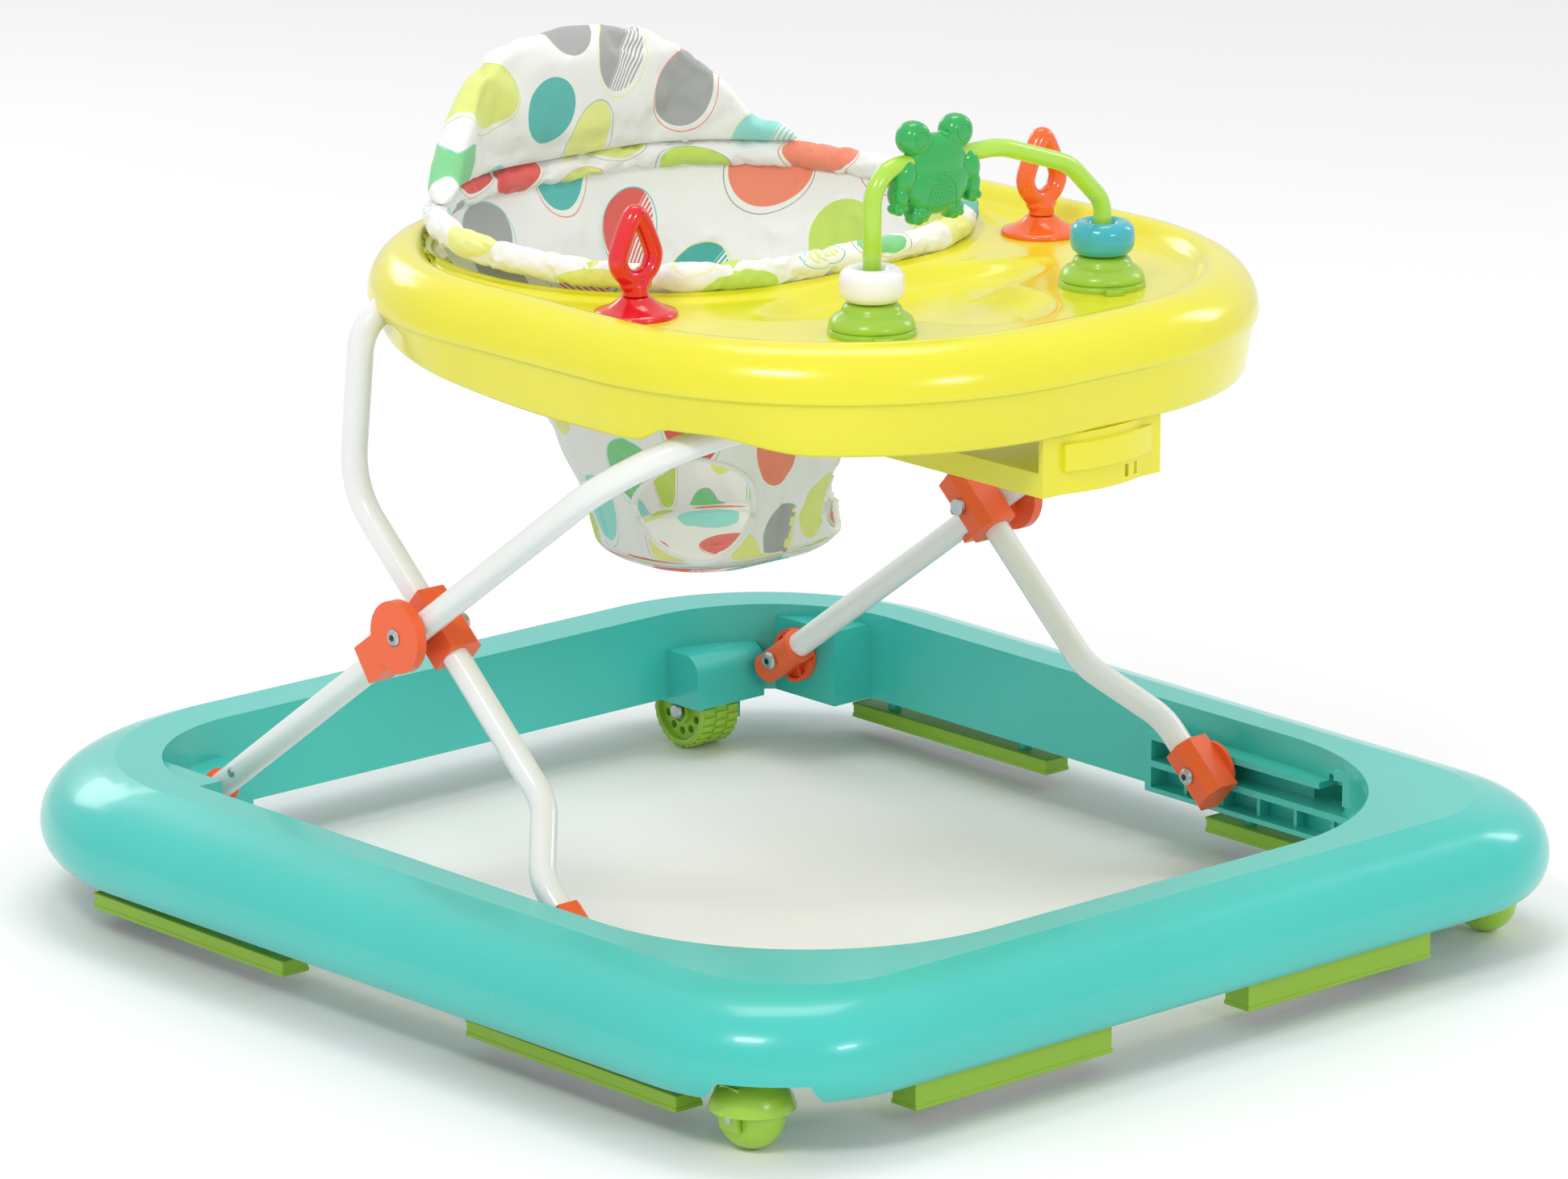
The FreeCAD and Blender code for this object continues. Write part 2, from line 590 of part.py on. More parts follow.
for side_name, side in SIDES:
    wire = rounded_wire(inner_route(side), [0, 32, 32, 45, 25, 0], False)
    pipe = tube_along(wire, TUBE_R, TUBE_R - dim("TubeWall"))
    pipe = pipe.cut(Part.makeCylinder(HINGE_BOLT_R + 0.05, 40, at_x(side * (INNER_X - 20), CROSS), V(side, 0, 0)))
    pipe = pipe.cut(Part.makeCylinder(2.5, 40, at_x(side * (FOOT_X - 20), FOOT), V(side, 0, 0)))
    shape_node(f"inner_frame_tube_{side_name}", pipe)

    place = arm_frame(INNER_X, CROSS.y, CROSS.z, INNER_ANGLE)
    block = box(-20, 20, -11, 11, -15.8, 8.2)
    corner = Part.makeBox(60, 8, 8, V(-30, -4, -4))
    for flip in (-1, 1):
        bevel = corner.copy()
        bevel.Placement = FreeCAD.Placement(V(0, flip * 11, -15.8), FreeCAD.Rotation(V(1, 0, 0), 45))
        block = block.cut(bevel)
    block = block.cut(Part.makeCylinder(TUBE_R, 80, V(-40, 0, 0), V(1, 0, 0)))
    block = block.cut(Part.makeCylinder(HINGE_BOLT_R + 0.05, 60, V(0, 0, -30)))
    block.Placement = place
    shape_node(f"hinge_block_{side_name}", mirrored(block, side))

    place = arm_frame(FOOT_X, FOOT.y, FOOT.z, INNER_ANGLE)
    shoe = box(-18, 18, -12, 12, -10, 10)
    bevel = Part.makeBox(60, 9, 9, V(-30, -4.5, -4.5))
    for flip in (-1, 1):
        edge = bevel.copy()
        edge.Placement = FreeCAD.Placement(V(0, flip * 12, -10), FreeCAD.Rotation(V(1, 0, 0), 45))
        shoe = shoe.cut(edge)
    shoe = shoe.fuse(Part.makeCylinder(17, 2.4, V(0, 0, 9.9)))
    shoe = shoe.cut(Part.makeCylinder(TUBE_R, 60, V(4, 0, 0), V(1, 0, 0)))
    shoe = shoe.cut(Part.makeCylinder(2.5, 60, V(0, 0, -30)))
    shoe.Placement = place
    shape_node(f"foot_shoe_{side_name}", mirrored(shoe, side))
    revolved(f"foot_bolt_{side_name}", bolt_profile(2.5, 36.4, 5, 2.8),
             facing_x(side * (FOOT_X - 10), FOOT.y, FOOT.z, side))
    roller_r = dim("RollerDia") / 2
    revolved(f"foot_roller_{side_name}",
             [(2.55, 0), (roller_r - 0.6, 0), (roller_r, 0.6), (roller_r, 10.4), (roller_r - 0.6, 11), (2.55, 11)],
             facing_x(side * (FOOT_X + 12.6), FOOT.y, FOOT.z, side))


# ---------------------------------------------------------------------------
# Tray, housing and what is fixed to them
# ---------------------------------------------------------------------------
TRAY_Y = dim("TrayCentreY")
TRAY_A = dim("TrayHalfWidth")
TRAY_B = dim("TrayHalfLength")
SEAT_Y = dim("SeatHoleY")
SEAT_A = dim("SeatHoleHalfWidth")
SEAT_B = dim("SeatHoleHalfLength")


def tray_oval(level, inset):
    return oval(level, TRAY_A - inset, TRAY_B - inset, TRAY_Y, dim("TrayCornerRadius") - inset)


def hole_oval(level, grow):
    return oval(level, SEAT_A + grow, SEAT_B + grow, SEAT_Y, dim("SeatHoleRadius") + grow)


def tray_form(inset, lift):
    """Outer form of the tray; inset and lift shrink it for the hollow underside."""
    levels = [
        (dim("TraySkirtZ") - 6 + lift * 0, 7), (dim("TrayRidgeZ") - 1, 1.5), (dim("TrayRidgeZ") + 10, 0.5),
        (dim("TrayRidgeZ") + 19, 6), (dim("TrayRidgeZ") + 25.5, 15), (dim("TrayCrownZ"), 27),
    ]
    wires = [
        tray_oval(z - (lift if i > 1 else 0), set_in + inset)
        for i, (z, set_in) in enumerate(levels)
    ]
    return loft(wires)


def skirt_trim():
    """Wedge that takes the skirt off below its edge, which rises toward the rear."""
    low = dim("TraySkirtZ")
    high = dim("TrayRearSkirtZ")
    profile = Part.makePolygon([
        V(-400, -400, low), V(-400, -60, low), V(-400, 230, high), V(-400, 300, high),
        V(-400, 300, 200), V(-400, -400, 200), V(-400, -400, low)])
    return Part.Face(profile).extrude(V(800, 0, 0))


def make_tray():
    wall = dim("TrayWall")
    deck = dim("TrayDeckZ")
    crown = dim("TrayCrownZ")
    body = tray_form(0, 0)
    # play deck, sunk inside the rim; the floor of the deck is one wall thick
    deck_outline = tray_oval(deck, 34)
    rim_outline = tray_oval(crown + 1, 27)
    body = body.cut(loft([deck_outline, rim_outline]))
    under = tray_form(wall, wall)
    under_cap = loft([
        tray_oval(deck - wall, 34 - wall), tray_oval(crown + 5, 27 - wall)])
    hollow = under.cut(under_cap)
    body = body.cut(hollow).cut(skirt_trim())
    # raised lip round the seat hole, which is then cut right through
    lip_height = 4.4
    outer = hole_oval(deck - wall, 9)
    lip = prism(outer, lip_height).common(tray_form(0, 0))
    body = body.fuse(lip)
    hole = prism(hole_oval(300, 0), 120)
    body = body.cut(hole)
    # down-turned flange inside the seat hole
    flange = prism(hole_oval(deck - 14, wall), 14).cut(hole)
    body = body.fuse(flange)
    # shallow dishes of the play deck
    for x, y, radius in ((0, -150, 42), (92, -108, 30), (-92, -108, 30)):
        dish = Part.makeSphere(radius * 2.2, V(x, y, deck + radius * 2.2 - 2))
        body = body.cut(dish)
    # reliefs in the skirt where the two frames pass under it
    inner_pass = Part.makeCylinder(9.5, 90, at_x(160, TRAY_PIVOT), V(1, 0, 0))
    inner_pass = inner_pass.fuse(
        box(160, 250, TRAY_PIVOT.y - 13, TRAY_PIVOT.y + 9.5, TRAY_PIVOT.z - 60, TRAY_PIVOT.z - 2))
    low = dim("TraySkirtZ")
    scallop = [
        V(120, -212, low - 1), V(120, -212, low + 0.5), V(120, -196, low + 2.5), V(120, -160, low + 8),
        V(120, -136, low + 8), V(120, -120, low - 1), V(120, -212, low - 1)]
    outer_pass = Part.Face(Part.makePolygon(scallop)).extrude(V(80, 0, 0))
    for _, side in SIDES:
        body = body.cut(mirrored(inner_pass, side)).cut(mirrored(outer_pass, side))
    body = body.cut(tube_along(outer_wire, TUBE_R + 2))
    return max(body.Solids, key=lambda s: s.Volume).removeSplitter()


shape_node("tray", make_tray())
TRAY_SHAPE = doc.getObject("tray").Shape


def make_housing():
    half = dim("HousingHalfWidth")
    front = dim("HousingFrontY")
    rear = dim("HousingRearY")
    low = dim("HousingBottomZ")
    top = dim("TrayDeckZ") - dim("TrayWall")
    wall = 3
    # two side rails, a floor with the window of the latch button, and a spring shelf
    body = box(-half, half, front + 8, rear, low, low + 13).cut(
        box(-half + wall, half - wall, front + 11, rear + 5, low - 1, low + 14))
    floor = box(-half, half, front + 8, front + 72, low, low + 2)
    floor = floor.cut(box(-12.5, 12.5, front + 29.5, front + 48.5, low - 1, low + 3))
    body = body.fuse(floor).fuse(box(-half, half, front + 8, front + 72, low + 11.6, low + 13.4))
    body = body.fuse(box(-half, half, rear - 3, rear, low, low + 13))
    # curved front with a wider stepped band and three slots
    nose = Part.makeCylinder(98, 33, V(0, front + 98, low)).cut(
        Part.makeCylinder(94, 40, V(0, front + 98, low - 1)))
    body = body.fuse(nose.common(box(-half, half, front - 5, front + 21, low, low + 33)))
    band = Part.makeCylinder(101, 15, V(0, front + 98, low + 13)).cut(
        Part.makeCylinder(96, 40, V(0, front + 98, low)))
    body = body.fuse(band.common(box(-half + 14, half + 6, front - 6, front + 26, low + 13, low + 28)))
    for step in range(3):
        slot_x = 14 + step * 8
        body = body.cut(box(slot_x, slot_x + 3, front - 5, front + 12, low + 3, low + 10))
    # web that carries the housing from the underside of the deck
    web = box(-half, half, front + 4.5, front + 8, low, top)
    body = body.fuse(web).cut(TRAY_SHAPE)
    # room for the crossbar at the front end of its track
    body = body.cut(box(-half - 20, half + 20, front + 9, rear, low + 13.4, low + 40))
    return body.removeSplitter()


shape_node("height_housing", make_housing())

for side_name, side in SIDES:
    # clips under the tray that the inner tubes turn in
    low_x = dim("TrayPivotInnerX") - 1
    clip = box(low_x, low_x + 18, TRAY_PIVOT.y - 12, TRAY_PIVOT.y + 12, TRAY_PIVOT.z - 11, 388)
    clip = clip.cut(Part.makeCylinder(TUBE_FIT, 40, at_x(low_x - 5, TRAY_PIVOT), V(1, 0, 0)))
    clip = mirrored(clip, side).cut(TRAY_SHAPE)
    clip = max(clip.Solids, key=lambda s: s.Volume)
    shape_node(f"tray_pivot_clip_{side_name}", clip)


# height latch: a button in the floor of the housing, pressed up against a spring
def make_latch():
    y = dim("HousingFrontY")
    z = dim("HousingBottomZ")
    plate = box(-16, 16, y + 16, y + 62, z + 2.1, z + 5)
    grip = box(-12, 12, y + 30, y + 48, z - 3, z + 2.1)
    return plate.fuse(grip)


shape_node("height_latch", make_latch())


def make_spring():
    """Compression spring between the latch plate and the shelf above it."""
    helix = Part.makeHelix(1.85, 5.6, 3)
    profile = Part.Wire([Part.makeCircle(0.4, V(3, 0, 0), V(0, 1, 0))])
    coil = Part.Wire(helix).makePipeShell([profile], True, True)
    coil.translate(V(0, dim("HousingFrontY") + 39, dim("HousingBottomZ") + 5.5))
    return coil


shape_node("latch_spring", make_spring())

# ---------------------------------------------------------------------------
# Seat: roll, back and hanging pouch (soft), with the wire hoop that carries it
# ---------------------------------------------------------------------------
ROLL = dim("RollRadius")
ROLL_Z = dim("RollZ")


def ring_along(path, radius):
    edge = path.Edges[0]
    section = Part.Wire([Part.makeCircle(radius, edge.valueAt(edge.FirstParameter),
                                         edge.tangentAt(edge.FirstParameter))])
    return path.makePipeShell([section], True, True)


roll_path = hole_oval(ROLL_Z, -2)
roll_path.rotate(V(0, SEAT_Y, ROLL_Z), V(1, 0, 0), dim("RollTilt"))
hoop = ring_along(roll_path, 2)
shape_node("seat_roll", ring_along(roll_path, ROLL).cut(ring_along(roll_path, 2.02)))
shape_node("seat_hoop", hoop)


def make_seat_back():
    """Tall padded back that follows the rear of the seat hole, highest in the middle."""
    low = ROLL_Z + ROLL + 6.2
    top = dim("SeatTopZ")
    band = prism(hole_oval(low, 3), top - low).cut(prism(hole_oval(low - 1, -12), top - low + 2))
    outline = rounded_wire(
        [V(-136, 300, low), V(-119, 300, top - 56), V(-84, 300, top - 22), V(-46, 300, top),
         V(46, 300, top), V(84, 300, top - 22), V(119, 300, top - 56), V(136, 300, low)],
        [0, 60, 60, 50, 50, 60, 60, 0], False)
    closing = Part.LineSegment(V(136, 300, low), V(-136, 300, low)).toShape()
    face = Part.Face(Part.Wire(outline.Edges + [closing]))
    return band.common(face.extrude(V(0, -300 + SEAT_Y, 0)))


back = make_seat_back()
board_outline = rounded_wire(
    [V(-84, 300, 420), V(-66, 300, 464), V(66, 300, 464), V(84, 300, 420)], [8, 22, 22, 8], True)
board_zone = Part.Face(board_outline).extrude(V(0, -150, 0))
sleeve = prism(hole_oval(416, -4), 80).cut(prism(hole_oval(415, -6), 82))
board = sleeve.common(board_zone)
shape_node("seat_back", back.cut(board))
shape_node("seat_back_board", board)


def pouch_form(shrink):
    low = dim("PouchBottomZ") + shrink
    levels = [
        (low, 58, 46, 50), (low + 7, 70, 58, 50), (low + 40, 80, 70, 52), (300, 98, 88, 56),
        (350, 131, 108, 60), (389 + shrink, 150, 119, SEAT_Y),
    ]
    return loft([oval(z, a - shrink, b - shrink, y, 0.88 * b - shrink) for z, a, b, y in levels])


def make_pouch():
    skin = pouch_form(0).cut(pouch_form(dim("FabricThickness")))
    skin = skin.cut(box(-200, 200, -200, 300, 388.5, 420))
    for _, side in SIDES:
        start = V(side * 34, 50, 262)
        aim = V(side * 0.45, -1, -0.28)
        skin = skin.cut(Part.makeCylinder(31, 160, start, aim))
    return skin


shape_node("seat_pouch", make_pouch())

# ---------------------------------------------------------------------------
# Toys
# ---------------------------------------------------------------------------
TOY_Z = dim("TrayDeckZ")


def make_teardrop_ring():
    """Teardrop loop: a round ring drawn up to a soft point."""
    radius = 11.5
    centre = 38
    tip = centre + 2 * radius
    tip_radius = 6.2
    lean = math.radians(30)
    touch_x = radius * math.cos(lean)
    touch_z = centre + radius * math.sin(lean)
    reach = tip_radius / math.tan(lean)
    near_x = reach * math.sin(lean)
    near_z = tip - reach * math.cos(lean)
    crown = tip - tip_radius / math.sin(lean) + tip_radius
    path = Part.Wire([
        Part.Arc(V(-touch_x, 0, touch_z), V(0, 0, centre - radius), V(touch_x, 0, touch_z)).toShape(),
        Part.LineSegment(V(touch_x, 0, touch_z), V(near_x, 0, near_z)).toShape(),
        Part.Arc(V(near_x, 0, near_z), V(0, 0, crown), V(-near_x, 0, near_z)).toShape(),
        Part.LineSegment(V(-near_x, 0, near_z), V(-touch_x, 0, touch_z)).toShape()])
    return ring_along(path, 5)


for side_name, side in SIDES:
    place = V(side * dim("ToyX"), dim("ToyY"), TOY_Z + 0.1)
    flange_r = dim("ToyFlangeDia") / 2
    revolved(f"toy_flange_{side_name}",
             [(0, 0), (flange_r, 0), (flange_r, 3), (flange_r - 3, 4.6), (10, 10.5), (8, 11.4),
              (3.2, 11.4), (3.2, 6), (0, 6)],
             FreeCAD.Placement(place, FreeCAD.Rotation()))
    neck = Part.makeCylinder(7.5, 11.5, V(0, 0, 11.7)).fuse(Part.makeCylinder(3.1, 6, V(0, 0, 6.2)))
    ring = make_teardrop_ring().fuse(neck)
    ring.translate(place)
    shape_node(f"toy_ring_{side_name}", ring)

ARCH_X = dim("ArchX")
ARCH_Y = dim("ArchY")
ROD_R = dim("RodDia") / 2
ARCH_TOP = dim("ArchTopZ")

for side_name, side in SIDES:
    place = V(side * ARCH_X, ARCH_Y, TOY_Z + 0.1)
    dome = []
    for i in range(9):
        lean = math.radians(10 * i)
        dome.append((10 + 13.5 * math.cos(lean), 5 + 13.5 * math.sin(lean)))
    revolved(f"arch_clip_{side_name}",
             [(0, 0), (24, 0), (24, 4.4), (23.4, 4.4)] + dome + [(ROD_R, 18.5), (ROD_R, 8), (0, 8)],
             FreeCAD.Placement(place, FreeCAD.Rotation()))

# the arch: steep on the right, then a long slope down to the left
arch_wire = rounded_wire(
    [V(-ARCH_X, ARCH_Y, TOY_Z + 8.2), V(-ARCH_X, ARCH_Y, ARCH_TOP), V(8, ARCH_Y, ARCH_TOP),
     V(60, ARCH_Y, ARCH_TOP - 17), V(ARCH_X, ARCH_Y, ARCH_TOP - 42), V(ARCH_X, ARCH_Y, TOY_Z + 8.2)],
    [0, 20, 60, 40, 18, 0], False)
shape_node("arch_rod", tube_along(arch_wire, ROD_R))

for label, side, low in (("bead_white", -1, TOY_Z + 18.7), ("bead_teal", 1, TOY_Z + 18.7)):
    profile = [(ROD_R + 0.08, 0)]
    for i in range(-8, 9):
        turn = math.radians(10 * i)
        profile.append((9 + 9 * math.cos(turn), 9.5 + 9.5 * math.sin(turn) / math.sin(math.radians(80))))
    profile.append((ROD_R + 0.08, 19))
    revolved(label, profile, FreeCAD.Placement(V(side * ARCH_X, ARCH_Y, low), FreeCAD.Rotation()))


def make_frog():
    """Generic toy frog: flat body, two eyes, arms and feet, threaded on the arch."""
    x = -41
    z = ARCH_TOP - 8
    lens_radius = 34
    lens_shift = 24.5
    shape = Part.makeSphere(lens_radius, V(x, ARCH_Y - lens_shift, z)).common(
        Part.makeSphere(lens_radius, V(x, ARCH_Y + lens_shift, z)))
    for flip in (-1, 1):
        eye = Part.makeSphere(7.5, V(x + flip * 15, ARCH_Y, z + 23))
        shape = shape.fuse(eye)
        arm = rod(V(x + flip * 18, ARCH_Y, z + 2), V(x + flip * 27, ARCH_Y, z - 14), 4)
        leg = rod(V(x + flip * 10, ARCH_Y, z - 14), V(x + flip * 16, ARCH_Y, z - 25), 4.5)
        shape = shape.fuse(arm).fuse(leg)
    return shape.cut(Part.makeCylinder(ROD_R + 0.05, 120, V(x - 60, ARCH_Y, ARCH_TOP), V(1, 0, 0)))


shape_node("frog_bead", make_frog())

# ---------------------------------------------------------------------------
# Checks and export
# ---------------------------------------------------------------------------
doc.recompute()
problems = []
for obj in doc.Objects:
    if "Invalid" in obj.State or "Error" in obj.State:
        problems.append(f"{obj.Name}: {obj.State}")
for node in NODES:
    shape = node.Shape
    if shape.isNull() or not shape.isValid() or not shape.Solids:
        problems.append(f"{node.Label}: no valid solid")
if problems:
    raise SystemExit("\n".join(problems))
for node in NODES:
    node.Shape.exportStep(os.path.join("parts", node.Label + ".step"))
print(len(NODES), "nodes written")
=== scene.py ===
import bisect
import json
import math

import bmesh
import bpy
from mathutils import Matrix, Vector, noise
from mathutils.bvhtree import BVHTree


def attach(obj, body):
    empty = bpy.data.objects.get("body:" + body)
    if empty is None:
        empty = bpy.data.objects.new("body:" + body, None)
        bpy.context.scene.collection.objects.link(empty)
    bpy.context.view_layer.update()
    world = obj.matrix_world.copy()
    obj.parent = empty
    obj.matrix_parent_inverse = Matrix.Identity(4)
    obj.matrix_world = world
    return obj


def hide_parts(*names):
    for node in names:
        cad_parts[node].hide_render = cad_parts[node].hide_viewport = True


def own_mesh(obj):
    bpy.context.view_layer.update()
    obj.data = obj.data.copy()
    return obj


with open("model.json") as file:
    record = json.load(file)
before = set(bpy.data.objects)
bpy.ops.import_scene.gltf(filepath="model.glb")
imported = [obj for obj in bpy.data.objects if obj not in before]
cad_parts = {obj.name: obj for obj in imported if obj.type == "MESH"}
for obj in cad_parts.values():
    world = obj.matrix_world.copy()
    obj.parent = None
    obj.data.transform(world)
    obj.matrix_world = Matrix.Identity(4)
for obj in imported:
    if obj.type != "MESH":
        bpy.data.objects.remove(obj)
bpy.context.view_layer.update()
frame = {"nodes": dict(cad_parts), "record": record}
NODES = frame["nodes"]
MM = 0.001
TAU = 2 * math.pi
SIDES = (("left", 1), ("right", -1))

# ---------------------------------------------------------------------------
# Camera, light and floor
# ---------------------------------------------------------------------------
scene = bpy.context.scene
scene.view_settings.view_transform = "Standard"

camera = bpy.data.objects.new("camera", bpy.data.cameras.new("camera"))
scene.collection.objects.link(camera)
camera.location = (-2.8430, -3.1646, 1.3479)
camera.rotation_euler = (math.radians(74.8), 0, math.radians(-42.0))
camera.data.lens = 178.98
camera.data.sensor_width = 36
camera.data.clip_end = 60
scene.camera = camera

floor_mesh = bpy.data.meshes.new("floor")
floor_mesh.from_pydata([(-14, -14, 0), (14, -14, 0), (14, 14, 0), (-14, 14, 0)], [], [(0, 1, 2, 3)])
floor = bpy.data.objects.new("floor", floor_mesh)
scene.collection.objects.link(floor)


def area_light(name, place, target, size, power, tint=(1, 1, 1)):
    data = bpy.data.lights.new(name, "AREA")
    data.shape = "RECTANGLE"
    data.size, data.size_y = size
    data.energy = power
    data.color = tint
    lamp = bpy.data.objects.new(name, data)
    lamp.location = place
    lamp.rotation_euler = (Vector(target) - Vector(place)).to_track_quat("-Z", "Y").to_euler()
    scene.collection.objects.link(lamp)


area_light("key", (-1.9, -0.9, 2.3), (0, 0, 0.3), (0.75, 0.36), 19, (1, 0.99, 0.97))
area_light("top", (0.4, 0.4, 2.8), (0, 0, 0.2), (1.4, 0.9), 14)
area_light("front", (-0.2, -3.0, 1.5), (0, 0, 0.2), (0.6, 0.26), 11)
area_light("right", (2.6, -0.6, 1.6), (0, 0, 0.25), (0.4, 1.0), 8, (0.97, 0.98, 1))
area_light("back", (0.4, 2.9, 1.5), (0, 0, 0.3), (1.2, 0.6), 8)

world = bpy.data.worlds.new("studio")
world.use_nodes = True
world.node_tree.nodes["Background"].inputs["Color"].default_value = (1, 1, 1, 1)
world.node_tree.nodes["Background"].inputs["Strength"].default_value = 0.78
scene.world = world


# ---------------------------------------------------------------------------
# Materials
# ---------------------------------------------------------------------------
def srgb(*values):
    """Linear colour from 0-255 values."""
    out = []
    for value in values:
        c = value / 255
        out.append(c / 12.92 if c <= 0.04045 else ((c + 0.055) / 1.055) ** 2.4)
    return (*out, 1)


class Nodes:
    """Small helper to add and link shader nodes."""

    def __init__(self, name):
        self.material = bpy.data.materials.new(name)
        self.material.use_nodes = True
        self.tree = self.material.node_tree
        self.shader = self.tree.nodes["Principled BSDF"]

    def add(self, kind, inputs=None, **settings):
        node = self.tree.nodes.new(kind)
        for key, value in settings.items():
            setattr(node, key, value)
        for key, value in (inputs or {}).items():
            self.put(node.inputs[key], value)
        return node

    def put(self, socket, value):
        if isinstance(value, bpy.types.NodeSocket):
            self.tree.links.new(value, socket)
        else:
            socket.default_value = value

    def math(self, operation, *values, clamp=False):
        node = self.add("ShaderNodeMath", operation=operation, use_clamp=clamp)
        for socket, value in zip(node.inputs, values):
            self.put(socket, value)
        return node.outputs[0]

    def mix(self, factor, a, b):
        node = self.add("ShaderNodeMix", data_type="RGBA")
        self.put(node.inputs[0], factor)
        self.put(node.inputs[6], a)
        self.put(node.inputs[7], b)
        return node.outputs[2]

    def noise(self, vector, scale, detail=2.0, rough=0.5):
        inputs = {"Vector": vector, "Scale": scale, "Detail": detail, "Roughness": rough}
        return self.add("ShaderNodeTexNoise", inputs).outputs["Fac"]

    def ramp(self, factor, stops, constant=False):
        node = self.add("ShaderNodeValToRGB", {"Fac": factor})
        node.color_ramp.interpolation = "CONSTANT" if constant else "LINEAR"
        items = node.color_ramp.elements
        while len(items) < len(stops):
            items.new(0.5)
        for item, (place, colour) in zip(items, stops):
            item.position = place
            item.color = colour
        return node.outputs["Color"]

    def span(self, value, low, high):
        node = self.add("ShaderNodeMapRange", {"Value": value, "To Min": low, "To Max": high})
        return node.outputs["Result"]

    def bump(self, height, distance, strength=1.0, normal=None):
        inputs = {"Height": height, "Distance": distance, "Strength": strength}
        if normal is not None:
            inputs["Normal"] = normal
        return self.add("ShaderNodeBump", inputs).outputs["Normal"]


def shade(colour, factor):
    return (*(min(1, c * factor) for c in colour[:3]), 1)


def plastic(name, colour, rough=0.28, grain=0.25, coat=0.0, glow=0.0):
    """Moulded plastic: faint flow mottling, fine grain, scattered scuffs in the gloss."""
    n = Nodes(name)
    place = n.add("ShaderNodeTexCoord").outputs["Object"]
    cloud = n.noise(place, 9, 3)
    n.put(n.shader.inputs["Base Color"], n.mix(cloud, shade(colour, 0.93), shade(colour, 1.06)))
    scuff = n.noise(place, 130, 5, 0.75)
    gloss = n.math("ADD", n.span(n.noise(place, 26, 3), rough - 0.05, rough + 0.05),
                   n.math("MULTIPLY", n.math("GREATER_THAN", scuff, 0.69), 0.10))
    n.put(n.shader.inputs["Roughness"], gloss)
    fine = n.bump(n.noise(place, 2200, 2), 0.00012, grain)
    n.put(n.shader.inputs["Normal"], n.bump(n.noise(place, 22, 1), 0.0006, 0.12, fine))
    n.shader.inputs["IOR"].default_value = 1.49
    n.shader.inputs["Coat Weight"].default_value = coat
    n.shader.inputs["Coat Roughness"].default_value = 0.06
    if glow:
        n.shader.inputs["Subsurface Weight"].default_value = glow
        n.shader.inputs["Subsurface Radius"].default_value = (0.006, 0.004, 0.003)
        n.shader.inputs["Subsurface Scale"].default_value = 0.6
    return n.material


def metal(name, colour, rough=0.3, streak=400):
    """Zinc-plated steel with fine turning marks and mottled plating."""
    n = Nodes(name)
    place = n.add("ShaderNodeTexCoord").outputs["Object"]
    cloud = n.noise(place, 160, 4)
    n.put(n.shader.inputs["Base Color"], n.mix(cloud, shade(colour, 0.8), shade(colour, 1.1)))
    n.put(n.shader.inputs["Roughness"], n.span(n.noise(place, streak, 3), rough - 0.08, rough + 0.14))
    n.put(n.shader.inputs["Normal"], n.bump(n.noise(place, 900, 2), 0.0001, 0.4))
    n.shader.inputs["Metallic"].default_value = 1.0
    return n.material


def enamel(name, colour):
    """Powder-coated tube: slight orange peel under a clear gloss."""
    n = Nodes(name)
    place = n.add("ShaderNodeTexCoord").outputs["Object"]
    n.put(n.shader.inputs["Base Color"],
          n.mix(n.noise(place, 14, 3), shade(colour, 0.96), shade(colour, 1.02)))
    n.put(n.shader.inputs["Roughness"], n.span(n.noise(place, 60, 4), 0.16, 0.27))
    n.put(n.shader.inputs["Normal"], n.bump(n.noise(place, 520, 2), 0.0002, 0.22))
    n.shader.inputs["Coat Weight"].default_value = 0.4
    n.shader.inputs["Coat Roughness"].default_value = 0.08
    return n.material


TEAL = srgb(66, 196, 186)
PALETTE = [
    srgb(68, 176, 168), srgb(228, 236, 130), srgb(232, 92, 84), srgb(126, 210, 142), srgb(150, 226, 218),
    srgb(196, 226, 96), srgb(244, 138, 108), srgb(168, 170, 170), srgb(84, 186, 180), srgb(236, 240, 142),
]


